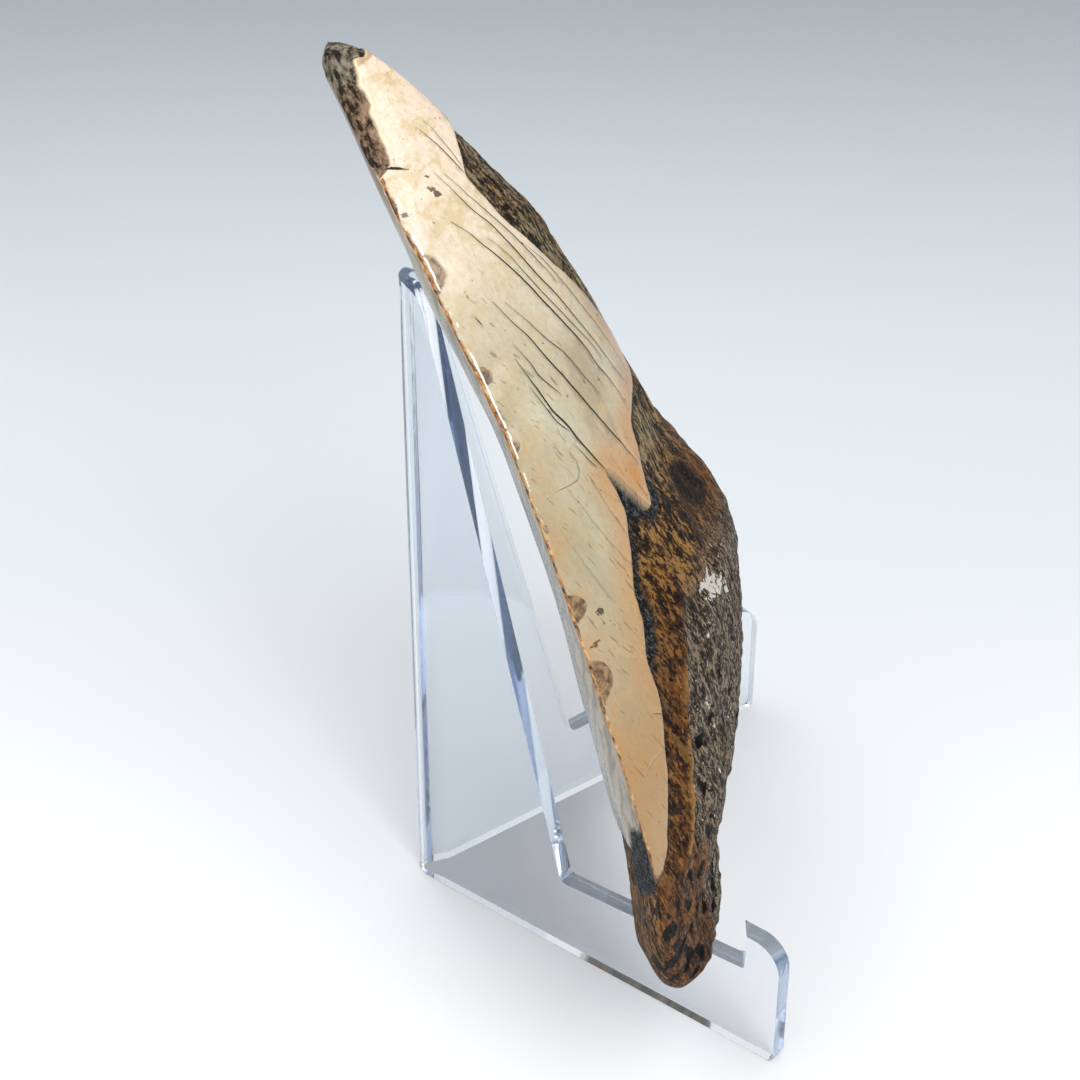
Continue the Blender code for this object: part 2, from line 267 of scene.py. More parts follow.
@dataclass(frozen=True)
class ToothForm:
    """The tooth's large shape: level sections up its slope, its outline, and how it leans. In millimetres."""

    length: float = 96.0
    lean_back: float = math.radians(20.9)
    foot: Pair = (29.65, 8.9)  # how far in front of the spine, and how high, the slope starts
    underside_low: float = 1.75
    underside_arch: float = 11.5
    arch_power: float = 1.8
    lobe_at: float = 0.69
    lobe_corner: float = 5.0
    underside_round: float = 1.8
    tip_round: float = 1.6
    places: tuple[float, ...] = (0, 9, 16, 24, 34, 46, 58, 70, 82, 90, 96)
    half: tuple[float, ...] = (31.0, 34.8, 36.0, 33.8, 29.4, 23.6, 18.4, 13.1, 8.2, 4.2, 1.2)
    bow: tuple[float, ...] = (1.0, 1.5, 3.0, 4.2, 4.5, 4.5, 4.3, 3.0, 1.4, 0.6, 0.0)
    front_depth: tuple[float, ...] = (5.6, 6.0, 9.1, 10.8, 12.0, 9.6, 8.9, 8.8, 6.7, 4.5, 1.8)
    back_depth: tuple[float, ...] = (3.6, 4.0, 3.4, 3.8, 3.1, 2.1, 2.3, 2.4, 1.2, 1.0, 0.8)
    front_power: float = 1.85
    rim_power: float = 8.0
    chip_power: float = 4.0
    fade_power: float = 6.0
    root_rim: float = 1.8
    back_power: Pair = (7.0, 3.0)
    back_power_at: Pair = (34.0, 62.0)
    root_top: float = 24.0
    crown_from: float = 12.0
    chips: tuple[tuple[float, float, float], ...] = (  # height, size and depth
        (77.0, 2.4, 0.5), (67.0, 1.4, 0.35), (62.0, 1.3, 0.35), (52.5, 1.5, 0.3), (41.0, 2.2, 0.4),
    )  # fmt: skip

    def underside(self, across: Array) -> Array:
        """How far up the slope the root's underside lies, from edge to edge (-1 to 1)."""
        share = np.minimum(np.abs(across) / self.lobe_at, 1.0)
        beyond = np.clip((np.abs(across) - self.lobe_at) / (1.0 - self.lobe_at), 0.0, 1.0)
        arch = self.underside_arch * (1.0 - share * share) ** self.arch_power
        corner = self.lobe_corner * (1.0 - np.sqrt(1.0 - beyond * beyond))
        return self.underside_low + arch + corner

    def half_width(self, height: Array) -> Array:
        """Half the tooth's width at each height."""
        return Profile(self.places, self.half).at(height)

    def closed(self, height: Array, start: Array) -> Array:
        """0 where the two skins meet, at the underside and the tip, and 1 where they are fully apart."""
        foot = np.minimum((height - start) / self.underside_round, 1.0)
        tip = np.minimum((self.length - height) / self.tip_round, 1.0)
        return np.sqrt(np.maximum(1 - (1 - foot) ** 2, 0.0)) * np.sqrt(np.maximum(1 - (1 - tip) ** 2, 0.0))

    def bare(self, skin: Skin, across: Array, height: Array) -> tuple[Array, Array, Array]:
        """The skin before any relief.

        Args:
            skin: Which face.
            across: Place from the near edge (-1) to the far edge (1).
            height: Place up the slope.

        Returns:
            Sideways place, depth towards the front, and how far the relief may show (0 at the outline).
        """
        start = self.underside(across)
        side = np.abs(across)
        crown = smooth_step(height, self.crown_from, self.root_top)
        rim = self.root_rim * (1.0 - crown)
        front = Profile(self.places, self.front_depth).at(height)
        swell = (front - rim) * (1.0 - side**self.front_power)
        swell += rim * np.sqrt(np.maximum(1.0 - side**self.rim_power, 0.0))
        low, high = self.back_power
        power = low + (high - low) * smooth_step(height, *self.back_power_at)
        flat = Profile(self.places, self.back_depth).at(height)
        flat = flat * np.maximum(1.0 - side**power, 0.0) ** (0.5 + 0.5 * crown)
        sheet = Profile(self.places, self.bow).at(height)
        closing = self.closed(height, start)
        middle = sheet + 0.5 * (swell - flat) * (1.0 - closing)
        depth = middle + swell * closing if skin is Skin.FRONT else middle - flat * closing
        x = across * self.half_width(height)
        chipped = sum(deep * bump(height, at, size) for at, size, deep in self.chips)
        x = x + np.where(x < 0, chipped, 0.0) * side**self.chip_power
        fade = closing * np.minimum(1.0, (1.0 - side**self.fade_power) * 1.5)
        return x, depth, fade

    def lean(self, x: Array, depth: Array, height: Array) -> Array:
        """From the tooth's own slope to the stand: sideways, behind the spine's line, and up."""
        forward = self.foot[0] - height * math.sin(self.lean_back) + depth * math.cos(self.lean_back)
        up = self.foot[1] + height * math.cos(self.lean_back) + depth * math.sin(self.lean_back)
        return np.stack([x, -forward, up], axis=1)


@dataclass(frozen=True)
class FaceMap:
    """A flat drawing of the tooth's face, in millimetres, with more room near the edges, underside and tip."""

    form: ToothForm
    edge_room: Pair = (0.45, 0.55)  # shares of an even spacing and of one that crowds towards the edges
    end_room: float = 0.085
    foot_level: float = 5.0
    steps: int = 2001

    def across_of(self, t: Array) -> Array:
        """Place from edge to edge for a place in the drawing."""
        even, crowded = self.edge_room
        return even * t + crowded * np.sin(0.5 * math.pi * t)

    def rise_of(self, t: Array) -> Array:
        """Share of the way from the underside to the tip for a place in the drawing."""
        return t - self.end_room * np.sin(2.0 * math.pi * t)

    def width_at(self, q: Array) -> Array:
        """Half the drawing's width at each level."""
        level = self.foot_level + (self.form.length - self.foot_level) * self.rise_of(q / self.form.length)
        return self.form.half_width(level)

    def face(self, drawn: Array) -> tuple[Array, Array]:
        """Across and height for points of the drawing."""
        p, q = drawn[:, 0], drawn[:, 1]
        across = self.across_of(np.clip(p / self.width_at(q), -1.0, 1.0))
        start = self.form.underside(across)
        height = start + (self.form.length - start) * self.rise_of(np.clip(q / self.form.length, 0.0, 1.0))
        return across, height

    def draw(self, line: Array) -> Array:
        """Points of the drawing for points of the face, sideways and up the slope."""
        steps = np.linspace(-1.0, 1.0, self.steps)
        across = np.clip(line[:, 0] / self.form.half_width(line[:, 1]), -1.0, 1.0)
        t = np.interp(across, self.across_of(steps), steps)
        start = self.form.underside(across)
        rise = np.clip((line[:, 1] - start) / (self.form.length - start), 0.0, 1.0)
        q = np.interp(rise, self.rise_of(0.5 + 0.5 * steps), 0.5 + 0.5 * steps) * self.form.length
        return np.stack([t * self.width_at(q), q], axis=1)


# ---------------------------------------------------------------- marks on the tooth


LINE_STEP = 0.4  # between the points of a smooth line
CRACK_OPENS = 0.5  # share of a crack's length, from its top, over which it opens
CRACK_CLOSES = 0.18  # share of its length over which it closes again
CRACK_FLOOR = 0.55  # share of its width between the feet of its walls
CRACK_WALLS = 0.44  # share of its width over which its walls slope
SCAR_STEP = 0.35
SCAR_WANDER = 0.12
PIT_RIM = 1.25  # how much wider a pit's rim is than the pit
ROW_SHARE = 0.866  # distance between the rows of a triangular filling, as a share of its spacing
FILL_STRAY = 0.13  # how far its points stray, also as a share
FILL_CLEAR = (0.45, 0.3, 0.55)  # what they keep from the edges, from tip and foot, and from points already there


@dataclass(frozen=True)
class Crack:
    """A long narrow groove: the points it runs through, its width and its depth."""

    points: Line
    width: float = 0.2
    depth: float = 0.16
    tone: float = 1.0  # how dark it is
    wander: float = 0.035
    seed: float = 0.0

    def line(self) -> Array:
        """The groove's middle line."""
        return flowing(self.points, LINE_STEP, self.wander, self.seed)

    def taper(self, along: Array) -> Array:
        """Share of the full width along the groove: it thins slowly to its top and quickly to its foot."""
        opened = np.minimum(along / CRACK_OPENS, (1.0 - along) / CRACK_CLOSES)
        return 0.8 * np.clip(opened, 0.1, 1.0) ** 0.7

    def sides(self) -> list[Array]:
        """Lines down both walls of the groove, top and foot of each."""
        middle = self.line()
        reach = 0.5 * self.width * self.taper(np.linspace(0.0, 1.0, len(middle)))
        side = sideways(middle) * reach[:, None]
        return [middle + side * share for share in (-1.0, -CRACK_FLOOR, CRACK_FLOOR, 1.0)]


@dataclass(frozen=True)
class Scar:
    """A place where a flake has come off: its outline, its depth and how dark it is."""

    outline: Line
    depth: float = 0.25
    tone: float = 0.5
    seed: float = 0.0

    def line(self) -> Array:
        """The scar's outline as a smooth closed line."""
        closed = self.outline + self.outline[:1]
        return flowing(closed, SCAR_STEP, SCAR_WANDER, self.seed)[:-1]


@dataclass(frozen=True)
class Pit:
    """A hole in the root: where it is, how wide and tall, how deep, and its tilt."""

    x: float
    y: float
    wide: float
    tall: float
    deep: float
    tilt: float = 0.0

    def share(self, x: Array, y: Array) -> Array:
        """1 in the hole's floor, 0 outside its rim, which is a little wider than the hole."""
        cosine, sine = math.cos(self.tilt), math.sin(self.tilt)
        right, up = x - self.x, y - self.y
        u = (right * cosine + up * sine) / (PIT_RIM * self.wide)
        v = (-right * sine + up * cosine) / (PIT_RIM * self.tall)
        return 1.0 - smooth_step(np.hypot(u, v), 0.55, 1.1)


@dataclass(frozen=True)
class Spot:
    """A small ragged spot of stain or chalk: its middle, its half sizes and how strong it is."""

    x: float
    y: float
    wide: float
    tall: float
    tone: float = 1.0


ENAMEL_EDGE_NEAR: Line = (
    (-36.4, 21.6), (-35.2, 21.2), (-34, 21.2), (-33, 21.6), (-32, 22.4), (-31, 23.7), (-29.3, 25.7), (-27.7, 27.8),
    (-26, 30.4), (-24.8, 32), (-23.9, 33.4), (-23, 35.5), (-22, 37.4), (-20.2, 39.4), (-18.8, 41.4), (-18, 42.6),
    (-16.2, 44.3), (-14.6, 46.2), (-13.3, 48.1), (-12.8, 50), (-12.4, 52), (-11.6, 49.1), (-11, 46.9), (-10.3, 45.4),
    (-9.5, 46), (-8.5, 48), (-7, 50.3), (-5.8, 52.3), (-3.6, 53.2), (-1.4, 53.8), (0.3, 55), (0.6, 58), (0, 61),
    (-1.4, 66), (-3, 70.5), (-3.7, 75), (-3.6, 78.2), (-3.2, 81), (-2.3, 82.3), (-1, 84), (0.8, 85.8),
)  # fmt: skip
ENAMEL_EDGE_FAR: Line = (
    (0.8, 85.8), (3.2, 84.6), (5, 82), (5.9, 77), (6.4, 71), (7.2, 64), (8, 58), (9, 54.6), (10, 52), (10.6, 47),
    (12.6, 44.5), (14.5, 46.5), (16.2, 43), (18.4, 38.6), (21.6, 36), (24, 31.8), (26.6, 28), (29.4, 24),
    (32.4, 20.8), (36, 19.8),
)  # fmt: skip
NEAR_CRACKS = (
    Crack(((-2.2, 87.2), (-2.3, 85.8), (-2.6, 84.1), (-3.0, 81.9)), 0.16, seed=1),
    Crack(((-3.0, 87.1), (-3.0, 85.7), (-3.1, 84.1), (-3.3, 81.3)), 0.2, seed=2),
    Crack(((-4.5, 82.6), (-4.6, 80.2), (-4.6, 78), (-4.5, 75), (-4.4, 72), (-4, 68.5)), 0.2, 0.12, 0.9, seed=3),
    Crack(
        ((-4.9, 83.2), (-5.1, 81), (-5.3, 78.6), (-5.2, 76.8), (-5.3, 74.3), (-5.4, 71), (-5, 67.6), (-4.7, 63.3),
         (-4.2, 59.9), (-3.7, 57.4), (-2.8, 54.9)), 0.3, 0.18, seed=4),
    Crack(
        ((-4.5, 73.9), (-3.8, 70.9), (-3.3, 67.9), (-2.9, 64.7), (-2.3, 61), (-1.6, 57.6), (-1.3, 55.4)),
        0.26, seed=5),
    Crack(
        ((-7, 79), (-6.9, 77.4), (-6.9, 76), (-6.8, 73.6), (-6.7, 71.3), (-6.6, 68.2), (-6.4, 65.4), (-6.2, 63),
         (-6.1, 61.5), (-6.1, 59.7), (-5.5, 57.3), (-5, 54.6)), 0.36, 0.22, seed=6),
    Crack(((-6.3, 76.1), (-6.1, 73.9), (-6.2, 70.9), (-6, 67.7), (-5.7, 64.9), (-4.9, 60)), 0.2, 0.12, 0.95, seed=7),
    Crack(
        ((-9.7, 71.4), (-9.9, 69), (-9.9, 66.7), (-10.1, 64), (-10.1, 61.4), (-9.9, 58.3), (-9.4, 54.9),
         (-8.9, 52.3), (-8.4, 49.4)), 0.34, 0.2, seed=8),
    Crack(((-9.1, 70.6), (-9, 68.6), (-8.9, 65.8), (-8.5, 63.5), (-8.4, 60.6), (-8, 57.8)), 0.2, 0.12, 0.9, seed=9),
    Crack(
        ((-12, 66.2), (-12.5, 63.6), (-13, 60.9), (-12.9, 58.8), (-12.9, 56.8), (-12.7, 53.9), (-12.5, 51.8)),
        0.36, 0.22, seed=10),
    Crack(((-12.9, 63.5), (-13.25, 61.6), (-13.4, 59.3), (-13.1, 57.8)), 0.2, 0.12, 0.9, seed=11),
    Crack(((-11.2, 67.2), (-11.4, 65.1), (-11.7, 63.5), (-11.5, 61)), 0.2, 0.12, 0.9, seed=12),
    Crack(((-13.5, 56.5), (-13.4, 55), (-13.2, 53.3)), 0.2, 0.12, 0.9, seed=13),
    Crack(
        ((-13.4, 56.7), (-14.3, 56.7), (-14.5, 55.1), (-15.3, 54.1), (-16.1, 54.2), (-17.5, 54.8), (-18.5, 54.9)),
        0.13, 0.08, 0.6, seed=14),
    Crack(((-11.2, 71.4), (-11.4, 70.3)), 0.16, 0.1, 0.7, seed=15),
    Crack(((-14.4, 52.8), (-14.8, 49.8), (-15, 46.3)), 0.11, 0.06, 0.45, seed=16),
    Crack(((-16.8, 54.3), (-16.9, 51.6), (-17, 48.3), (-16.8, 44.5)), 0.1, 0.05, 0.35, seed=17),
    Crack(((-19.4, 52.9), (-20.1, 48.3), (-20.7, 43.3)), 0.1, 0.05, 0.3, seed=18),
    Crack(((-26.8, 29.7), (-28, 29.8), (-29.6, 29.5)), 0.16, 0.08, 0.5, seed=19),
    Crack(((-25.5, 33.1), (-24.8, 32.2)), 0.16, 0.1, 0.7, seed=20),
    Crack(((-6.2, 86.4), (-6, 85.6), (-5.7, 84.8)), 0.34, 0.25, 0.9, seed=21),
)  # fmt: skip
FAR_CRACK_STARTS = (  # sideways place, height of the top, and length
    (4.6, 82, 24), (6, 79.5, 22), (5.6, 73, 15), (7.9, 75, 21), (8.6, 70, 13), (10.2, 71.5, 23), (12.3, 66, 15),
    (11.4, 62, 11), (14, 61, 14), (16.6, 55, 10), (17.8, 50, 9),
)  # fmt: skip
NEAR_SCARS = (
    Scar(((-11.6, 79.2), (-9.6, 79), (-9.2, 77.8), (-9.3, 76.3), (-10, 75.2), (-11.6, 74.6)), 0.3, 0.45, 1),
    Scar(((-14.9, 68.9), (-13.8, 68.3), (-13.4, 67.2), (-13.8, 66.1), (-15.6, 66)), 0.28, 0.75, 2),
    Scar(((-16.6, 65.2), (-15.3, 64.9), (-15.6, 63.4), (-16.3, 61.8), (-17.6, 60.6), (-18.4, 61)), 0.32, 0.85, 3),
    Scar(((-17.8, 60.6), (-16.7, 61.3), (-16.6, 60.3), (-17.9, 59.6)), 0.25, 0.8, 4),
    Scar(((-21, 53.8), (-19.9, 53.3), (-19.9, 52.5), (-21.2, 52)), 0.22, 0.7, 5),
    Scar(((-27.2, 42.4), (-25.6, 41.2), (-24.9, 40), (-25.4, 38.6), (-26.6, 37.7), (-28.6, 37.4)), 0.3, 0.7, 6),
    Scar(((-24.7, 47.2), (-22.7, 46.9), (-22.3, 45.4), (-23.2, 44.6), (-25.6, 44.8)), 0.1, 0.55, 7),
)
FAR_SCARS = (
    Scar(((8.2, 82.6), (6.9, 82.2), (6.6, 81), (7.3, 80), (9.3, 79.8)), 0.28, 0.5, 21),
    Scar(((15.2, 66.6), (13.8, 66.4), (13.3, 65), (14, 63.9), (16.6, 63.6)), 0.3, 0.7, 22),
    Scar(((21.9, 51.6), (20.1, 51.4), (19.8, 50.3), (20.6, 49), (23, 48.8)), 0.3, 0.75, 23),
    Scar(((29.6, 35.6), (27.6, 35.3), (27, 34.2), (28.2, 33), (30.6, 32.6)), 0.26, 0.6, 24),
)  # fmt: skip
LOBE_PITS = (
    Pit(-35.6, 15.3, 0.62, 0.75, 0.9, 0.3), Pit(-33.5, 11.8, 0.4, 0.45, 0.7), Pit(-35.0, 13.1, 0.45, 0.4, 0.7),
    Pit(-34.7, 11.3, 0.85, 0.6, 1.0, 0.5), Pit(-33.2, 8.3, 0.7, 0.45, 0.9, 0.4), Pit(-32.4, 6.3, 0.6, 0.35, 0.7),
    Pit(-30.2, 6.6, 0.5, 0.6, 0.6), Pit(-31, 12.5, 0.35, 0.35, 0.4), Pit(34.6, 13.8, 0.7, 0.6, 0.9, 0.4),
    Pit(33.2, 10.6, 0.5, 0.6, 0.8), Pit(34.9, 16.9, 0.45, 0.4, 0.6), Pit(31.3, 7.4, 0.8, 0.5, 0.9, 0.3),
    Pit(29.4, 11.2, 0.4, 0.5, 0.5), Pit(27.2, 6.8, 0.45, 0.45, 0.6), Pit(-21.4, 25, 0.5, 0.7, 0.6),
    Pit(2.6, 27.5, 0.75, 1.1, 1.0, 0.2), Pit(-4.4, 24.8, 0.5, 0.8, 0.7), Pit(9.5, 21.6, 0.6, 0.8, 0.7),
    Pit(-11.6, 19, 0.5, 0.7, 0.6), Pit(17.4, 24.4, 0.45, 0.6, 0.5),
)  # fmt: skip
SPOTS = (
    Spot(-5.9, 82.4, 0.22, 0.36, 0.7), Spot(-8.0, 81.7, 0.22, 0.32, 0.45), Spot(-5.4, 83.4, 0.2, 0.25, 0.6),
    Spot(-22.1, 43.7, 0.34, 0.34, 1.0), Spot(-23.2, 43.3, 0.16, 0.16, 0.8), Spot(-22.7, 43.0, 0.16, 0.16, 0.8),
    Spot(-24.2, 41.8, 0.8, 0.3, 0.4), Spot(-0.8, 86.3, 0.14, 0.14, 0.8), Spot(-0.9, 87.6, 0.14, 0.14, 0.7),
    Spot(-0.8, 85.1, 0.14, 0.14, 0.7), Spot(-8.4, 72.7, 0.16, 0.16, 0.6), Spot(-7.3, 78.5, 0.14, 0.2, 0.6),
    Spot(12.4, 58.0, 0.25, 0.3, 0.7), Spot(17.2, 44.6, 0.3, 0.25, 0.8), Spot(-6.0, 81.7, 0.2, 0.45, 1.0),
)  # fmt: skip
CHALK_MARKS = (
    Spot(-10.4, 34.7, 1.05, 0.75), Spot(-9.3, 33.5, 0.95, 0.7), Spot(-8.1, 32.1, 0.7, 0.55),
    Spot(-11.5, 35.6, 0.5, 0.35), Spot(-11.9, 32.5, 0.2, 0.24), Spot(-18.3, 26.9, 0.2, 0.6),
    Spot(-18.2, 29.4, 0.2, 0.25), Spot(-14.6, 32.2, 0.25, 0.2), Spot(-17.8, 23.5, 0.2, 0.3),
    Spot(-20.1, 19.8, 0.2, 0.2), Spot(12.5, 30.5, 0.3, 0.25), Spot(6.2, 22.0, 0.2, 0.3),
)  # fmt: skip
ROOT_MOUNDS = (
    Mound((-2.6, 41.0), (2.6, 4.6), -1.1), Mound((1.0, 34.0), (13.0, 9.0), 0.9),
    Mound((-31.0, 5.4), (4.0, 3.2), 0.9), Mound((31.0, 5.4), (4.0, 3.2), 0.9),
)  # fmt: skip
ROOT_RELIEF = (Relief(0.45, 9.0, 1.0), Relief(0.3, 3.5, 2.0), Relief(0.25, 2.2, 4.0, 0.18))
BACK_ROOT_RELIEF = (Relief(0.4, 7.0, 5.0), Relief(0.25, 3.0, 6.0))
BACK_BORDER_RELIEF = (Relief(0.5, 2.4, 51.0), Relief(0.25, 0.9, 52.0))
ENAMEL_SWELL = Relief(0.12, 12.0, 3.0)
BACK_ENAMEL_SWELL = Relief(0.07, 2.6, 54.0, 0.1)
CORE_FIBRES = Relief(0.27, 0.85, 31.0, 0.12)
CORE_GRAIN = Relief(0.12, 0.4, 32.0, 0.2)
BACK_CORE_FIBRES = Relief(0.12, 0.9, 53.0, 0.3)
POROUS_RELIEF = Relief(0.22, 0.9, 34.0, 0.4)
WORN_RELIEF = Relief(0.16, 0.7, 33.0)
BAND_WANDER = Relief(0.9, 2.2, 36.0, 0.5)
LEDGE_WANDER = Relief(6.0, 3.0, 37.0)
HOLLOW_CELLS = Relief(1.0, 2.4, 7.0)
PORES = Relief(1.0, 0.95, 61.0, 0.55)
RUSTY_KNOB = Mound((1.5, 39.0), (5.5, 4.0))
TAN_TONGUE = Mound((9.8, 49.0), (2.0, 3.6))
HOLLOW_BLOT = Mound((-1.1, 40.7), (2.3, 2.7), 1.875)
HOLLOW_STREAK = Mound((-3.4, 38.5), (1.7, 5.0), 0.75)
BLACK_PATCH: Line = (
    (-31.6, 25.4), (-33.3, 25.9), (-34.1, 23.6), (-34.8, 21.2), (-34.6, 19.2), (-32.2, 17.8), (-31.0, 20.5),
)  # fmt: skip
ROOT_LEDGE: Line = (
    (-13.4, 41.5), (-15.5, 38.6), (-18.4, 35), (-21, 31.6), (-23.3, 28.7), (-25.2, 25.6), (-26.3, 24.6),
    (-27.2, 23.1), (-29, 21.2), (-31, 20),
)  # fmt: skip
WORN_EDGE: Line = (
    (-7.6, 85.2), (-6.5, 85.4), (-5.6, 86.2), (-5.1, 87.2), (-4.5, 88.4), (-3.8, 89.9), (-2.9, 91.5), (-2.1, 93.2),
    (-1.2, 94.6), (-0.7, 94.2), (0.2, 94.6), (1.3, 94.3), (2.6, 95), (2.6, 98), (-6, 98), (-9, 88),
)  # fmt: skip


def placed_piece(mesh: bpy.types.Mesh) -> bpy.types.Object:
    """A smooth-shaded piece in the scene, named like its mesh."""
    mesh.shade_smooth()
    piece = bpy.data.objects.new(mesh.name, mesh)
    bpy.context.scene.collection.objects.link(piece)
    return piece


@dataclass
class FossilTooth:
    """The tooth: its form, its marks, its mesh, and the masks that its finish reads."""

    form: ToothForm = field(default_factory=ToothForm)
    front_spacing: float = 0.34
    back_spacing: float = 0.5
    enamel_step: float = 0.6
    worn_depth: float = 0.34
    band_reach: float = 1.75
    lip_height: float = 0.16
    back_border: Pair = (21.4, 5.0)  # height of the enamel's lower border behind, at the edges, and its rise
    outline_cuts: tuple[int, int, int] = (300, 9, 190)  # points up each edge, over the tip and along the foot
    margins: tuple[float, float, float] = (0.25, 0.5, 3.0)  # that guide lines keep from the edges, tip and foot
    enamel_sides: tuple[float, ...] = (-0.28, 0.0, 0.22)  # where guide lines run beside each border
    worn_sides: tuple[float, ...] = (-0.3, -0.1, 0.1, 0.3)
    scar_sides: Pair = (-0.1, 0.12)
    fill_seed: int = 11
    near_cracks: tuple[Crack, ...] = NEAR_CRACKS
    scars: tuple[Scar, ...] = NEAR_SCARS
    pits: tuple[Pit, ...] = LOBE_PITS

    def __post_init__(self) -> None:
        """Settles the lines that shape and finish share."""
        self.map = FaceMap(self.form)
        near = flowing(ENAMEL_EDGE_NEAR, LINE_STEP, 0.1, 3.0)
        far = flowing(ENAMEL_EDGE_FAR, LINE_STEP, 0.16, 5.0)
        self.enamel_edge = np.vstack([near, far[1:]])
        low = np.array([(60, 19.8), (60, -30), (-60, -30), (-60, 20.6)])
        self.core_outline = np.vstack([self.enamel_edge, low])
        self.ledge = flowing(ROOT_LEDGE, LINE_STEP, 0.12, 8.0)
        self.worn = flowing(WORN_EDGE, 0.35, 0.12, 9.0)
        self.front_cracks = self.near_cracks + tuple(self.far_cracks())
        self.back_cracks = tuple(self.labial_cracks())
        self.all_scars = self.scars + FAR_SCARS
        self.scar_lines = [scar.line() for scar in self.all_scars]

    def far_cracks(self) -> list[Crack]:
        """Long cracks on the far half of the front face, in the same lie as the near ones."""
        made = []
        for i, (x, top, run) in enumerate(FAR_CRACK_STARTS):
            drift = 0.35 * math.sin(1.9 * i) - 0.04 * run
            shares = (0, 0.2, 0.45, 0.7, 1)
            points = tuple((x + drift * s * s + 0.5 * math.sin(math.pi * s), top - run * s) for s in shares)
            size = (0.13, 0.09, 0.6) if i % 2 else (0.26, 0.2, 1.0)
            made.append(Crack(points, *size, 0.14, 40 + i))
        return made

    def labial_cracks(self) -> list[Crack]:
        """Fine cracks that run down the flatter back face."""
        made = []
        for i in range(17):
            share = -0.86 + 1.72 * (i + 0.35 * math.sin(5.1 * i)) / 16
            top = 84 - 30 * abs(share) - 9 * (0.5 + 0.5 * math.sin(2.7 * i))
            low = max(top - 20 - 16 * (0.5 + 0.5 * math.cos(3.3 * i)), 30 - 6 * abs(share))
            points = []
            for s in (0, 0.3, 0.6, 1):
                y = top + (low - top) * s
                width = float(self.form.half_width(np.array([y]))[0])
                points.append((share * width * (0.93 + 0.05 * math.sin(2.2 * i + 3 * s)), y))
            size = (0.12, 0.06, 0.5) if i % 3 else (0.2, 0.12, 0.9)
            made.append(Crack(tuple(points), *size, 0.16, 80 + i))
        return made

    # -- the drawing of each face

    def rim(self) -> Array:
        """Points of the drawing's outline, shared by the two skins, once round."""
        top = self.form.length
        edge_cuts, tip_cuts, foot_cuts = self.outline_cuts
        levels = np.linspace(0.0, top, edge_cuts)
        near = np.stack([-self.map.width_at(levels), levels], axis=1)
        far = np.stack([self.map.width_at(levels), levels], axis=1)[::-1]
        tip = np.linspace(-1.0, 1.0, tip_cuts)[1:-1] * self.map.width_at(np.array([top]))[0]
        foot = np.linspace(1.0, -1.0, foot_cuts)[1:-1] * self.map.width_at(np.array([0.0]))[0]
        tip_line = np.stack([tip, np.full(tip.shape, top)], axis=1)
        foot_line = np.stack([foot, np.zeros(foot.shape)], axis=1)
        return np.vstack([near, tip_line, far, foot_line])

    def guide_lines(self, skin: Skin) -> list[Array]:
        """Lines of the drawing that the mesh must follow: groove sides and middles, and broken edges."""
        lines = []
        for crack in self.front_cracks if skin is Skin.FRONT else self.back_cracks:
            lines += crack.sides()
        if skin is Skin.FRONT:
            lines += self.beside(self.enamel_edge, self.enamel_sides)
            lines += self.beside(self.worn[: len(self.worn) * 2 // 3], self.worn_sides)
            for scar in self.scar_lines:
                lines += self.beside(scar, self.scar_sides)
        return [self.map.draw(line) for line in map(self.kept, lines) if len(line) > 1]

    @staticmethod
    def beside(line: Array, offsets: tuple[float, ...]) -> list[Array]:
        """Copies of a line moved to its sides."""
        return [line + offset * sideways(line) for offset in offsets]

    def kept(self, line: Array) -> Array:
        """The stretch of a line that lies well inside the tooth's outline."""
        edge, tip, foot = self.margins
        inside = np.abs(line[:, 0]) < self.form.half_width(line[:, 1]) - edge
        inside &= (line[:, 1] < self.form.length - tip) & (line[:, 1] > foot)
        best, run = (0, 0), None
        for i, good in enumerate([*inside, False]):
            if good and run is None:
                run = i
            if not good and run is not None:
                best, run = max(best, (run, i), key=lambda span: span[1] - span[0]), None
        return line[best[0] : best[1]]

    def filling(self, spacing: float, taken: Array) -> Array:
        """Points that fill the drawing evenly, clear of the outline and of the guide lines.

        Args:
            spacing: Distance between neighbours.
            taken: Points that are there already.

        Returns:
            The new points.
        """
        tree = kdtree.KDTree(len(taken))
        for i, (p, q) in enumerate(taken):
            tree.insert((p, q, 0.0), i)
        tree.balance()
        random = np.random.default_rng(self.fill_seed)
        points = []
        rows = int(self.form.length / (spacing * ROW_SHARE))
        for row in range(1, rows):
            q = row * self.form.length / rows
            width = float(self.map.width_at(np.array([q]))[0])
            count = max(1, int(2 * width / spacing))
            start = -width + (0.5 if row % 2 else 1.0) * 2 * width / count
            for column in range(count):
                points.append((start + column * 2 * width / count, q))
        spread = np.array(points) + random.uniform(-FILL_STRAY, FILL_STRAY, (len(points), 2)) * spacing
        width = self.map.width_at(spread[:, 1])
        aside, ends, apart = (share * spacing for share in FILL_CLEAR)
        clear = (np.abs(spread[:, 0]) < width - aside) & (spread[:, 1] > ends)
        clear &= spread[:, 1] < self.form.length - ends
        return np.array([p for p in spread[clear] if tree.find((p[0], p[1], 0.0))[2] > apart])

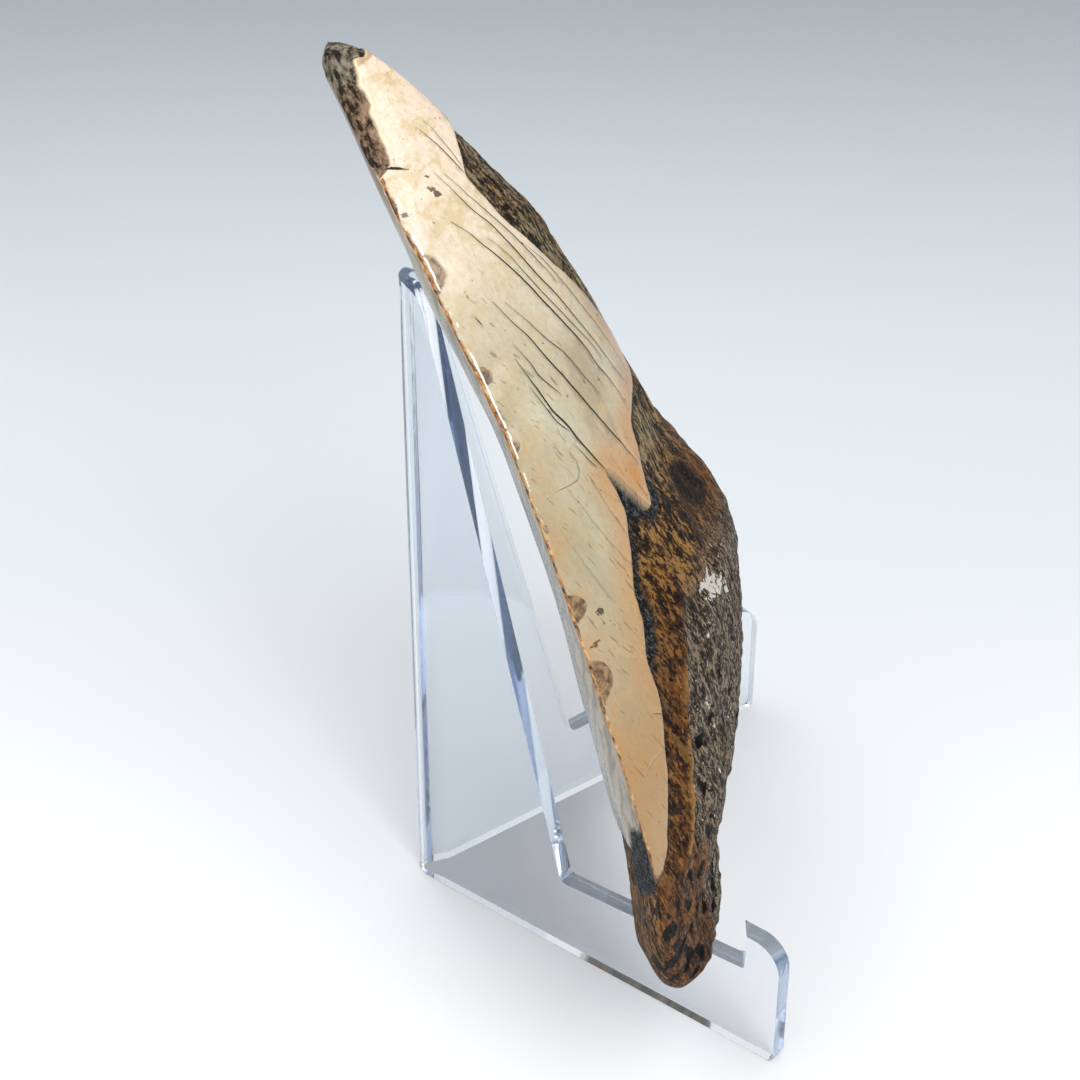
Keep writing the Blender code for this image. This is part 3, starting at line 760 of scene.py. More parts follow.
    def drawn_mesh(self, skin: Skin) -> tuple[Array, Array, int]:
        """Triangles of one face's drawing.

        Args:
            skin: Which face.

        Returns:
            The drawing's points, the triangles, and how many of the first points are the outline.
        """
        rim = self.rim()
        points, edges = [tuple(p) for p in rim], [(i, (i + 1) % len(rim)) for i in range(len(rim))]
        for line in self.guide_lines(skin):
            first = len(points)
            points += [tuple(p) for p in line]
            edges += [(first + i, first + i + 1) for i in range(len(line) - 1)]
        spacing = self.front_spacing if skin is Skin.FRONT else self.back_spacing
        fill = self.filling(spacing, np.array(points))
        points += [tuple(p) for p in fill]
        made, _, faces, origin, _, _ = delaunay_2d_cdt([Vector(p) for p in points], edges, [], 1, 1e-5, True)
        drawn = np.array([tuple(v) for v in made])
        corners = np.array([list(f) for f in faces])
        middles = drawn[corners].mean(axis=1)
        corners = corners[is_inside(middles[:, 0], middles[:, 1], rim)]
        place = {old: new for new, olds in enumerate(origin) for old in olds}
        order = [place[i] for i in range(len(rim))]
        outline = set(order)
        rest = [i for i in range(len(drawn)) if i not in outline]
        renumber = np.empty(len(drawn), int)
        renumber[order + rest] = np.arange(len(drawn))
        return drawn[order + rest], renumber[corners], len(rim)

    # -- relief and masks

    def front_fields(self, across: Array, height: Array, bare: Array) -> tuple[Array, dict[str, Array]]:
        """Relief of the front face and the masks for its finish.

        Args:
            across: Place from edge to edge.
            height: Place up the slope.
            bare: The points before relief: sideways, depth and height.

        Returns:
            How far each point is raised, and the masks by name, each from 0 to 1.
        """
        x, y = bare[:, 0], height
        edge, _ = nearest_on_line(x, y, self.enamel_edge)
        past = np.where(is_inside(x, y, self.core_outline), -edge, edge)
        into_worn = signed_distance(x, y, self.worn)
        worn = smooth_step(into_worn, -0.1, 0.1)
        enamel = smooth_step(past, -0.3, 0.22)
        root = 1.0 - smooth_step(past, -0.7, 0.5)
        porous = self.porous_share(x, y)
        ledge, _ = nearest_on_line(x, y, self.ledge)
        raised = self.enamel_step * smooth_step(past, -0.42, 0.22)
        raised -= worn * (self.worn_depth + WORN_RELIEF.at(bare))
        raised += enamel * ENAMEL_SWELL.at(bare)
        raised += root * sum(layer.at(bare) for layer in ROOT_RELIEF)
        grain = CORE_GRAIN.at(bare)
        raised += (1.0 - enamel) * (1.0 - porous) * (CORE_FIBRES.at(bare) + grain)
        raised += porous * (POROUS_RELIEF.at(bare) + grain)
        raised += root * sum(mound.at(x, y) for mound in ROOT_MOUNDS)
        raised += root * (0.55 * bump(ledge, 0.0, 1.3) + 0.35 * bump(ledge, 0.0, 0.45))
        reach = self.band_reach + BAND_WANDER.at(bare)
        reach = reach * np.interp(y, (22.0, 30.0, 40.0, 52.0, 60.0), (0.25, 0.4, 0.9, 1.0, 0.4))
        band = (1.0 - enamel) * smooth_step(edge / reach, 1.15, 0.75) * smooth_step(y, 19.0, 23.0)
        holes = self.hole_share(x, y, bare, self.pits)
        near_edge = (1.0 - np.abs(across)) * self.form.half_width(height)
        cracks, crack_tone = self.crack_share(across, y, self.front_cracks)
        scars, scar_tone = self.scar_share(x, y)
        raised -= 0.25 * band * (1.0 - worn) + holes + cracks + scars
        crown = smooth_step(height, self.form.crown_from + 4, self.form.root_top)
        raised += self.lip_height * crown * enamel * bump(near_edge, 0.75, 0.42)
        low_down, outward = smooth_step(y, 80.0, 40.0), smooth_step(near_edge, 11.0, 1.0)
        return raised, {
            "enamel": enamel,
            "band": band,
            "crack": crack_tone,
            "scar": scar_tone,
            "worn": np.clip(0.5 + 0.5 * into_worn, 0.0, 1.0),
            "porous": porous,
            # painted highlight: a thin light ochre line along the ledge's crest
            "ledge": (1.0 - enamel) * bump(ledge, 0.0, 0.22) * smooth_step(y + LEDGE_WANDER.at(bare), 31.0, 28.0),
            "hole": smooth_step(holes, 0.08, 0.3),
            "edge": crown * enamel * np.clip(1.0 - near_edge / 0.8, 0.0, 1.0) * smooth_step(y, 87.5, 85.0),
            "glow": crown * enamel * smooth_step(near_edge, 3.6, 0.2) * low_down,
            "rust": self.rust_share(x, y),
            "tan": enamel * self.tan_share(x, y, edge),
            "olive": enamel * outward * smooth_step(y, 86.0, 60.0) * smooth_step(y, 26.0, 38.0),
            "hollow": self.hollow_share(x, y),
            "spot": enamel * self.spot_share(x, y, SPOTS),
            "chalk": (1.0 - enamel) * self.spot_share(x, y, CHALK_MARKS),
        }

    def back_fields(self, across: Array, height: Array, bare: Array) -> tuple[Array, dict[str, Array]]:
        """Relief of the back face and the masks for its finish; see front_fields. Masks it leaves out are 0."""
        x, y = bare[:, 0], height
        ragged = sum(layer.at(bare * (1.0, 0.0, 0.0)) for layer in BACK_BORDER_RELIEF)
        border = self.back_border[0] + self.back_border[1] * (1.0 - across * across) + ragged
        tip = smooth_step(y + 0.7 * ragged, 93.6, 94.2)
        enamel = smooth_step(y - border, -0.3, 0.3) * (1.0 - tip)
        root = 1.0 - smooth_step(y - border, -0.8, 0.6)
        raised = 0.4 * smooth_step(y - border, -0.4, 0.3) - 0.2 * tip
        raised += root * sum(layer.at(bare) for layer in BACK_ROOT_RELIEF)
        raised += (1.0 - enamel) * BACK_CORE_FIBRES.at(bare) + enamel * BACK_ENAMEL_SWELL.at(bare)
        holes = 0.5 * self.hole_share(x, y, bare)
        cracks, crack_tone = self.crack_share(across, y, self.back_cracks)
        raised -= holes + cracks * enamel
        near_edge = (1.0 - np.abs(across)) * self.form.half_width(height)
        patch = smooth_step(signed_distance(x + 0.35 * ragged, y + 0.35 * ragged, np.array(BLACK_PATCH)), -0.25, 0.15)
        enamel = enamel * (1.0 - patch)
        return raised, {
            "enamel": enamel,
            "band": np.maximum((1.0 - enamel) * smooth_step(border - y, 2.4, 0.8), patch),
            "crack": crack_tone * enamel,
            "worn": np.maximum(tip, np.clip(1.0 - near_edge / 1.1, 0.0, 1.0) * smooth_step(y, 85.4, 86.6) * (x < 0)),
            "porous": smooth_step(y, 22.0, 15.0) * smooth_step(np.abs(x), 29.0, 20.0),
            "hole": smooth_step(holes, 0.12, 0.5),
            "rust": smooth_step(np.abs(x), 20.0, 29.0) * smooth_step(y, 20.0, 12.0) * 0.6,
            "tan": enamel * smooth_step(y - border, 5.0, 0.5),
            "labial": np.ones(x.shape),
        }

    @staticmethod
    def spot_share(x: Array, y: Array, spots: tuple[Spot, ...]) -> Array:
        """Falls from 1 in the middle of a listed spot to 0 well outside it; the finish cuts it off raggedly."""
        share = np.zeros(x.shape)
        for spot in spots:
            far = np.hypot((x - spot.x) / spot.wide, (y - spot.y) / spot.tall)
            share = np.maximum(share, (0.7 + 0.3 * spot.tone) * np.clip(1.25 - 0.5 * far, 0.0, 1.0))
        return share

    @staticmethod
    def porous_share(x: Array, y: Array) -> Array:
        """1 on the root's porous middle, inside the ledge on both sides."""
        heights, widths = (4, 12, 20, 24.6, 28.7, 31.6, 35, 38.6, 42), (26, 27, 28.6, 26, 23, 20.6, 17.6, 14.6, 9)
        side = np.interp(y, heights, widths)
        return smooth_step(side - np.abs(x), -0.3, 1.2) * smooth_step(y, 39.5, 33.5)

    @staticmethod
    def rust_share(x: Array, y: Array) -> Array:
        """1 on the rusty lobes and on the strip between the enamel and the ledge."""
        lobes = smooth_step(np.abs(x), 23.0, 29.0) * smooth_step(y, 21.0, 16.0)
        strip = smooth_step(y, 46.0, 34.0) * smooth_step(np.abs(x) + 0.86 * (y - 24.6) - 26.0, -0.6, 0.8) * 0.75
        return np.maximum.reduce([lobes, strip, RUSTY_KNOB.at(x, y)])

    @staticmethod
    def tan_share(x: Array, y: Array, edge: Array) -> Array:
        """1 where the enamel is stained tan: along its broken edge low down, on the long tongue and below."""
        border = smooth_step(edge, 4.6, 0.4) * smooth_step(y, 72.0, 52.0)
        low = smooth_step(y, 38.0, 29.0) * 0.85
        return np.maximum.reduce([0.7 * border, low, TAN_TONGUE.at(np.abs(x), y)])

    @staticmethod
    def hollow_share(x: Array, y: Array) -> Array:
        """1 in the blue-black hollow under the enamel's peak and on the dark streak below it."""
        return np.clip(HOLLOW_BLOT.at(x, y) + HOLLOW_STREAK.at(x + 0.55 * (44.0 - y), y), 0.0, 1.0)

    @staticmethod
    def hole_share(x: Array, y: Array, bare: Array, pits: tuple[Pit, ...] = ()) -> Array:
        """Depth of the holes: hollows low on the root, pores, and listed pits."""
        hollows = smooth_step(HOLLOW_CELLS.at(bare), 0.25, 0.6) * smooth_step(14.0 - y, -8.0, 6.0)
        pores = smooth_step(PORES.at(bare), 0.42, 0.66) * smooth_step(y, 33.0, 28.0)
        depth = 0.9 * hollows + 0.3 * pores
        return np.maximum.reduce([depth, *(pit.deep * pit.share(x, y) for pit in pits)])

    def crack_share(self, across: Array, y: Array, cracks: tuple[Crack, ...]) -> tuple[Array, Array]:
        """Depth and darkness of the cracks, which lie on the face as it was before any chips."""
        x = across * self.form.half_width(y)
        depth, tone = np.zeros(x.shape), np.zeros(x.shape)
        for crack in cracks:
            line = crack.line()
            close = close_to(x, y, line)
            far, along = nearest_on_line(x[close], y[close], line)
            width = crack.taper(along)
            share = np.clip((1.0 - far / (0.5 * crack.width * width)) / CRACK_WALLS, 0.0, 1.0)
            depth[close] = np.maximum(depth[close], crack.depth * width * share)
            tone[close] = np.maximum(tone[close], crack.tone * share)
        return depth, tone

    def scar_share(self, x: Array, y: Array) -> tuple[Array, Array]:
        """Depth and darkness of the flake scars."""
        depth, tone = np.zeros(x.shape), np.zeros(x.shape)
        for scar, line in zip(self.all_scars, self.scar_lines):
            close = close_to(x, y, line)
            inner = signed_distance(x[close], y[close], line)
            share = smooth_step(inner, *self.scar_sides)
            depth[close] = np.maximum(depth[close], scar.depth * share * (0.75 + 0.25 * smooth_step(inner, 1.2, 0.1)))
            tone[close] = np.maximum(tone[close], scar.tone * share)
        return depth, tone

    # -- the mesh

    def build(self, spine: float) -> bpy.types.Object:
        """The tooth as one closed piece.

        Args:
            spine: Where the stand's spine line is, front to back, in metres.

        Returns:
            The piece, with its masks as attributes.
        """
        places, lays, all_faces, all_masks = [], [], [], []
        total = 0
        for skin in Skin:
            drawn, faces, rim = self.drawn_mesh(skin)
            across, height = self.map.face(drawn)
            x, depth, fade = self.form.bare(skin, across, height)
            fields = self.front_fields if skin is Skin.FRONT else self.back_fields
            raised, masks = fields(across, height, np.stack([x, depth, height], axis=1))
            depth = depth + raised * fade if skin is Skin.FRONT else depth - raised * fade
            shared = 0 if skin is Skin.FRONT else rim  # the outline's points, which the front has made already
            numbers = np.concatenate([np.arange(shared), np.arange(total, total + len(drawn) - shared)])
            turned = faces if skin is Skin.FRONT else faces[:, ::-1]
            all_faces.append(numbers[turned])
            places.append(self.form.lean(x, depth, height)[shared:])
            lays.append(np.stack([x, height, depth], axis=1)[shared:])
            all_masks.append({name: values[shared:] for name, values in masks.items()})
            total += len(drawn)
        points = np.vstack(places) * MM + np.array((0.0, spine, 0.0))
        faces = self.facing_out(points, np.vstack(all_faces))
        mesh = bpy.data.meshes.new("fossil_tooth_skin")
        mesh.from_pydata(points.tolist(), [], faces.tolist())
        mesh.update()
        lay = mesh.attributes.new("lay", "FLOAT_VECTOR", "POINT")
        lay.data.foreach_set("vector", np.vstack(lays).astype(np.float32).ravel())
        for name in sorted({name for masks in all_masks for name in masks}):
            values = [masks.get(name, np.zeros(len(part))) for masks, part in zip(all_masks, places)]
            mask = mesh.attributes.new(name, "FLOAT", "POINT")
            mask.data.foreach_set("value", np.concatenate(values).astype(np.float32))
        LOG.info("tooth: %d points, %d triangles", len(points), len(faces))
        return placed_piece(mesh)

    @staticmethod
    def facing_out(points: Array, faces: Array) -> Array:
        """The faces turned so that the closed skin holds a positive volume."""
        a, b, c = (points[faces[:, i]] for i in range(3))
        volume = float(np.einsum("ij,ij->i", a, np.cross(b, c)).sum())
        return faces if volume > 0 else faces[:, ::-1]


# ---------------------------------------------------------------- the stand's shape


@dataclass(frozen=True)
class ClearStand:
    """The moulded stand: one sheet bent at a rear spine into two wings, one side profile each. In millimetres."""

    wing_angle: float = math.radians(37.1)
    wall: float = 1.95
    packed_radius: float = 1.2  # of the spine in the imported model
    bend_radius: float = 2.4
    set_back: float = 0.45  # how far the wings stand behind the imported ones, which keeps the rounder spine in place
    bend_cuts: int = 16
    bend_thinning: float = 0.5  # how much of the wall the bend has lost at its middle
    thin_reach: float = 2.4  # beyond the bend, where the wall is whole again
    height: float = 75.3
    reach: float = 48.95
    top_flat: float = 1.6
    top_radius: float = 3.5
    lean_top: Pair = (5.1, 71.8)
    notch: Pair = (21.7, 9.5)
    hook_back: Pair = (44.9, 10.9)
    hook_height: float = 15.4
    hook_radius: float = 3.4
    hook_from: float = 78.0  # degrees, where the hook's outer round starts
    toe_radius: float = 0.8
    notch_round: float = 0.9
    heel_round: float = 0.5
    round_cuts: int = 24
    toe_cuts: int = 6
    edge_near: Pair = (0.55, 1.2)  # what belongs to the hook's rear edge: near it, and this far above the notch
    soft_edge: float = 0.2
    sharp_from: float = math.radians(40)
    flat_weight: int = 90
    tiny: float = 1e-5
    merged: float = 1e-3

    @staticmethod
    def arc(centre: Pair, radius: float, start: float, end: float, steps: int) -> list[Pair]:
        """Points of an arc, from one angle to another in degrees."""
        angles = [math.radians(start + (end - start) * i / steps) for i in range(steps + 1)]
        return [(centre[0] + radius * math.cos(a), centre[1] + radius * math.sin(a)) for a in angles]

    def profile(self) -> list[Pair]:
        """One wing's side profile: reach from the spine, and height."""
        run, drop = self.notch[0] - self.lean_top[0], self.notch[1] - self.lean_top[1]
        slant = math.degrees(math.atan2(drop, run)) + 90.0
        top = self.arc((self.top_flat, self.height - self.top_radius), self.top_radius, 90.0, slant, self.round_cuts)
        hook_middle = (self.reach - self.hook_radius, self.hook_height - self.hook_radius)
        hook = self.arc(hook_middle, self.hook_radius, self.hook_from, 0.0, self.round_cuts)
        toe = self.arc((self.reach - self.toe_radius, self.toe_radius), self.toe_radius, 0.0, -90.0, self.toe_cuts)
        notch = self.softened(self.lean_top, self.notch, self.hook_back, self.notch_round)
        heel = self.softened(self.notch, self.hook_back, (self.hook_back[0], self.hook_height), self.heel_round)
        return [(0.0, 0.0), (0.0, self.height), *top, *notch, *heel, (self.hook_back[0], self.hook_height), *hook, *toe]

    @staticmethod
    def softened(before: Pair, corner: Pair, after: Pair, radius: float) -> list[Pair]:
        """A corner of the profile as a few points of a small round."""
        at = np.array(corner)
        back, on = (np.array(p) - at for p in (before, after))
        back, on = radius * back / np.linalg.norm(back), radius * on / np.linalg.norm(on)
        return [tuple(at + (1 - t) ** 2 * back + t * t * on) for t in np.linspace(0.0, 1.0, 6)]

    def bent(self, reach: float, height: float, depth: float) -> tuple[float, float, float]:
        """A point of the flat wing in its place on the bent sheet.

        Args:
            reach: Distance from the spine's line along the wing's outer face.
            height: Height.
            depth: Depth below the outer face, as a negative number.

        Returns:
            Its place, with the spine's line at the origin.
        """
        sine, cosine = math.sin(self.wing_angle), math.cos(self.wing_angle)
        straight_from = self.bend_radius / math.tan(self.wing_angle)
        depth *= 1.0 - self.bend_thinning * (1.0 - float(smooth_step(reach, 0.0, straight_from + self.thin_reach)))
        if reach >= straight_from:
            return -sine * reach - cosine * depth, -cosine * reach + sine * depth, height
        turned = reach / straight_from * (math.pi / 2.0 - self.wing_angle)
        out = self.bend_radius + depth
        return -out * math.sin(turned), out * math.cos(turned) - self.bend_radius / sine, height

    def build(self, spine: float) -> bpy.types.Object:
        """The stand as one closed piece.

        Args:
            spine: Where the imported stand's spine line is, front to back, in metres.

        Returns:
            The piece.
        """
        shape = bmesh.new()
        face = shape.faces.new([shape.verts.new((x, y, 0.0)) for x, y in self.profile()])
        grown = bmesh.ops.extrude_face_region(shape, geom=[face])
        far = [v for v in grown["geom"] if isinstance(v, bmesh.types.BMVert)]
        bmesh.ops.translate(shape, vec=(0.0, 0.0, -self.wall), verts=far)
        for vertex in far:
            aside, above = abs(vertex.co.x - self.hook_back[0]), vertex.co.y - self.notch[1]
            if aside < self.edge_near[0] and above > self.edge_near[1]:
                vertex.co.x -= self.wall * math.tan(self.wing_angle)
        inner = [f for f in shape.faces if all(abs(v.co.x) < self.tiny for v in f.verts)]
        bmesh.ops.delete(shape, geom=inner, context="FACES")
        straight_from = self.bend_radius / math.tan(self.wing_angle)
        for cut in np.linspace(0.0, straight_from + self.thin_reach, self.bend_cuts)[1:]:
            whole = shape.verts[:] + shape.edges[:] + shape.faces[:]
            bmesh.ops.bisect_plane(shape, geom=whole, plane_co=(cut, 0, 0), plane_no=(1, 0, 0), dist=self.tiny)
        for vertex in shape.verts:
            vertex.co = self.bent(*vertex.co)
        whole = shape.verts[:] + shape.edges[:] + shape.faces[:]
        bmesh.ops.mirror(shape, geom=whole, axis="X", merge_dist=self.merged)
        bmesh.ops.remove_doubles(shape, verts=shape.verts[:], dist=self.merged)
        bmesh.ops.recalc_face_normals(shape, faces=shape.faces[:])
        self.round_edges(shape)
        place = Matrix.Translation((0.0, spine + self.set_back * MM, 0.0)) @ Matrix.Scale(MM, 4)
        bmesh.ops.transform(shape, matrix=place, verts=shape.verts[:])
        mesh = bpy.data.meshes.new("display_stand_clear")
        shape.to_mesh(mesh)
        open_edges = sum(not e.is_manifold for e in shape.edges)
        shape.free()
        piece = placed_piece(mesh)
        weigh = piece.modifiers.new("flat faces stay flat", "WEIGHTED_NORMAL")
        weigh.keep_sharp = True
        weigh.weight = self.flat_weight
        LOG.info("stand: %d faces, %d open edges", len(mesh.polygons), open_edges)
        return piece

    def round_edges(self, shape: bmesh.types.BMesh) -> None:
        """Rounds every sharp edge a little."""
        sharp = [e for e in shape.edges if e.is_manifold and e.calc_face_angle() > self.sharp_from]
        bmesh.ops.bevel(
            shape, geom=sharp, offset=self.soft_edge, offset_type="OFFSET", segments=3, profile=0.5, affect="EDGES",
            clamp_overlap=True,
        )  # fmt: skip


# ---------------------------------------------------------------- finishes

Colour = tuple[int, int, int]
Tints = tuple[Colour, Colour, Colour]  # dark, middle and light, unless said otherwise
Socket = bpy.types.NodeSocket


def linear(colour: Colour, alpha: float = 1.0) -> tuple[float, float, float, float]:
    """A colour chip, 0 to 255 a channel, as the linear values that shaders take."""
    shares = (c / 255.0 for c in colour)
    return (*(s / 12.92 if s <= 0.04045 else ((s + 0.055) / 1.055) ** 2.4 for s in shares), alpha)


class Bench:
    """A node tree, with short ways to add and join nodes."""

    def __init__(self, tree: bpy.types.NodeTree) -> None:
        """Takes the tree to work on."""
        self.tree = tree

    def add(self, kind: str, inputs: dict | None = None, **settings: object) -> bpy.types.Node:
        """A new node.

        Args:
            kind: Its type.
            inputs: Values or sockets for its inputs, by name or place.
            settings: Its other properties.

        Returns:
            The node.
        """
        node = self.tree.nodes.new(kind)
        for name, value in settings.items():
            setattr(node, name, value)
        for name, value in (inputs or {}).items():
            self.feed(node.inputs[name], value)
        return node

    def feed(self, socket: Socket, value: object) -> None:
        """Joins a socket to an input, or sets the input's own value."""
        if isinstance(value, Socket):
            self.tree.links.new(value, socket)
        else:
            socket.default_value = value

    def mix(self, share: object, low: object, high: object) -> Socket:
        """A colour between two, by a share; each colour is a socket or a chip."""
        node = self.add("ShaderNodeMix", {0: share}, data_type="RGBA")
        for place, colour in ((6, low), (7, high)):
            self.feed(node.inputs[place], colour if isinstance(colour, Socket) else linear(colour))
        return node.outputs[2]

    def layers(self, tint: Socket, *coats: tuple[object, object]) -> Socket:
        """A colour with coats laid over it in turn, each a share and a colour."""
        for share, colour in coats:
            tint = self.mix(share, tint, colour)
        return tint

    def sum(self, kind: str, first: object, *others: object, clamp: bool = False) -> Socket:
        """Arithmetic on values in turn: MULTIPLY, ADD, SUBTRACT or MAXIMUM."""
        for other in others:
            first = self.add("ShaderNodeMath", {0: first, 1: other}, operation=kind, use_clamp=clamp).outputs[0]
        return first

    def times(self, *values: object) -> Socket:
        """The product of several values."""
        return self.sum("MULTIPLY", *values)

    def weighed(self, *parts: tuple[object, float]) -> Socket:
        """The sum of several values, each with its weight."""
        return self.sum("ADD", *(self.times(value, weight) for value, weight in parts))

    def stray(self, base: object, grain: object, reach: float) -> Socket:
        """A value that grain moves up and down by a reach."""
        return self.sum("ADD", base, self.times(self.sum("SUBTRACT", grain, 0.5), reach))

    def between(self, value: object, low: float, high: float, start: float = 0.0, end: float = 1.0) -> Socket:
        """A value's place between two limits, smoothly, as a number from start to end."""
        numbers = dict(enumerate((value, low, high, start, end)))
        return self.add("ShaderNodeMapRange", numbers, interpolation_type="SMOOTHSTEP").outputs[0]

    def effect(self, group: bpy.types.NodeTree, **inputs: object) -> Socket:
        """A shared effect with this material's own values."""
        named = {name.capitalize(): value for name, value in inputs.items()}
        return self.add("ShaderNodeGroup", named, node_tree=group).outputs[0]


class Effects:
    """The shared effects, as node groups that are built once."""

    PLACED = (
        ("Place", "NodeSocketVector", None),
        ("Stretch", "NodeSocketVector", (1.0, 1.0, 1.0)),
        ("Scale", "NodeSocketFloat", 1.0),
        ("Seed", "NodeSocketFloat", 0.0),
    )

    def __init__(self) -> None:
        """Builds every group."""
        self.grain = self.make_grain()
        self.specks = self.make_specks()
        self.blotch = self.make_blotch()

    @staticmethod
    def start(name: str, inputs: tuple[tuple[str, str, object], ...], output: tuple[str, str]) -> tuple:
        """An empty group with its sockets.

        Args:
            name: The group's name.
            inputs: Name, socket type and default of each input.
            output: Name and socket type of the output.

        Returns:
            The group, its bench, its input sockets and its output socket.
        """
        group = bpy.data.node_groups.new(name, "ShaderNodeTree")
        for label, kind, default in inputs:
            socket = group.interface.new_socket(label, in_out="INPUT", socket_type=kind)
            if default is not None:
                socket.default_value = default
        group.interface.new_socket(output[0], in_out="OUTPUT", socket_type=output[1])
        bench = Bench(group)
        return group, bench, bench.add("NodeGroupInput").outputs, bench.add("NodeGroupOutput").inputs[output[0]]

    @staticmethod
    def noise(bench: Bench, get: bpy.types.NodeOutputs, more: dict) -> Socket:
        """Noise over the stretched place, at the group's scale and seed."""
        drawn = bench.add("ShaderNodeVectorMath", {0: get["Place"], 1: get["Stretch"]}, operation="MULTIPLY").outputs[0]
        inputs = {"Vector": drawn, "W": get["Seed"], "Scale": get["Scale"], **more}
        return bench.add("ShaderNodeTexNoise", inputs, noise_dimensions="4D").outputs["Fac"]

    def make_grain(self) -> bpy.types.NodeTree:
        """Grain that can be drawn out along any direction: streaks, fibres or plain mottling."""
        sockets = (*self.PLACED, ("Detail", "NodeSocketFloat", 4.0), ("Bend", "NodeSocketFloat", 0.0))
        group, bench, get, put = self.start("grain", sockets, ("Amount", "NodeSocketFloat"))
        bench.feed(put, self.noise(bench, get, {"Detail": get["Detail"], "Distortion": get["Bend"], "Roughness": 0.6}))
        return group

    def make_specks(self) -> bpy.types.NodeTree:
        """Small scattered specks: 1 in a speck, 0 between."""
        sockets = (*self.PLACED, ("Limit", "NodeSocketFloat", 0.66))
        group, bench, get, put = self.start("specks", sockets, ("Mask", "NodeSocketFloat"))
        past = bench.sum("SUBTRACT", self.noise(bench, get, {"Detail": 2.0}), get["Limit"])
        bench.feed(put, bench.between(past, 0.0, 0.035))
        return group

    def make_blotch(self) -> bpy.types.NodeTree:
        """Three colours laid in soft patches by an amount of grain."""
        tones = (("Dark", 0.1), ("Middle", 0.3), ("Light", 0.6))
        sockets = (
            ("Amount", "NodeSocketFloat", 0.5),
            ("Contrast", "NodeSocketFloat", 1.0),
            *((name, "NodeSocketColor", (tone, tone, tone, 1.0)) for name, tone in tones),
        )
        group, bench, get, put = self.start("blotch", sockets, ("Tint", "NodeSocketColor"))
        apart = bench.times(bench.sum("SUBTRACT", get["Amount"], 0.5), get["Contrast"])
        amount = bench.sum("ADD", apart, 0.5)
        low = bench.mix(bench.between(amount, 0.34, 0.5), get["Dark"], get["Middle"])
        bench.feed(put, bench.mix(bench.between(amount, 0.52, 0.68), low, get["Light"]))
        return group


class MaterialBench(Bench):
    """A new material's tree, with the shared effects at hand."""

    def __init__(self, name: str, effects: Effects, on_skin: bool = False) -> None:
        """Makes the material.

        Args:
            name: The material's name.
            effects: The shared node groups.
            on_skin: True if effects follow the piece's own lie and heights, which its mesh carries.
        """
        self.material = bpy.data.materials.new(name)
        self.material.use_nodes = True
        super().__init__(self.material.node_tree)
        self.effects = effects
        self.surface = self.tree.nodes["Principled BSDF"]
        if on_skin:
            self.place = self.add("ShaderNodeAttribute", attribute_name="lay").outputs["Vector"]
        else:
            self.place = self.add("ShaderNodeTexCoord").outputs["Object"]

    @cached_property
    def axes(self) -> bpy.types.NodeOutputs:
        """The parts of the place: X, Y and Z."""
        return self.add("ShaderNodeSeparateXYZ", {0: self.place}).outputs

    def mask(self, name: str) -> Socket:
        """One of the mesh's masks."""
        return self.add("ShaderNodeAttribute", attribute_name=name).outputs["Fac"]

    def grain(self, seed: float, scale: float, stretch: float = 1.0, detail: float = 4.0, bend: float = 0.0) -> Socket:
        """Grain, drawn out up the slope where stretch is below 1."""
        drawn = (1, stretch, 1)
        return self.effect(
            self.effects.grain, place=self.place, stretch=drawn, scale=scale, detail=detail, bend=bend, seed=seed
        )

    def specks(self, seed: float, scale: float, limit: float, stretch: tuple[float, float, float]) -> Socket:
        """Scattered specks, fewer where the limit is high."""
        return self.effect(self.effects.specks, place=self.place, stretch=stretch, scale=scale, limit=limit, seed=seed)

    def blotch(self, amount: Socket, tints: Tints, contrast: float = 1.0) -> Socket:
        """Three tints in soft patches."""
        dark, middle, light = (linear(tint) for tint in tints)
        return self.effect(self.effects.blotch, amount=amount, contrast=contrast, dark=dark, middle=middle, light=light)

    def ragged(self, ramp: Socket, grain: Socket, reach: float) -> Socket:
        """The share inside a soft ramp that is cut off along a ragged line, which the grain moves by a reach."""
        return self.between(self.stray(ramp, grain, reach), 0.66, 0.74)

    def set(self, **values: object) -> None:
        """Values or sockets for the surface's inputs, by name with _ for a space."""
        for name, value in values.items():
            self.feed(self.surface.inputs[name.replace("_", " ")], value)

    def relief(self, height: Socket, distance: float, strength: float = 1.0) -> None:
        """Fine relief on the surface, in metres."""
        inputs = {"Height": height, "Distance": distance, "Strength": strength}
        self.set(Normal=self.add("ShaderNodeBump", inputs).outputs[0])


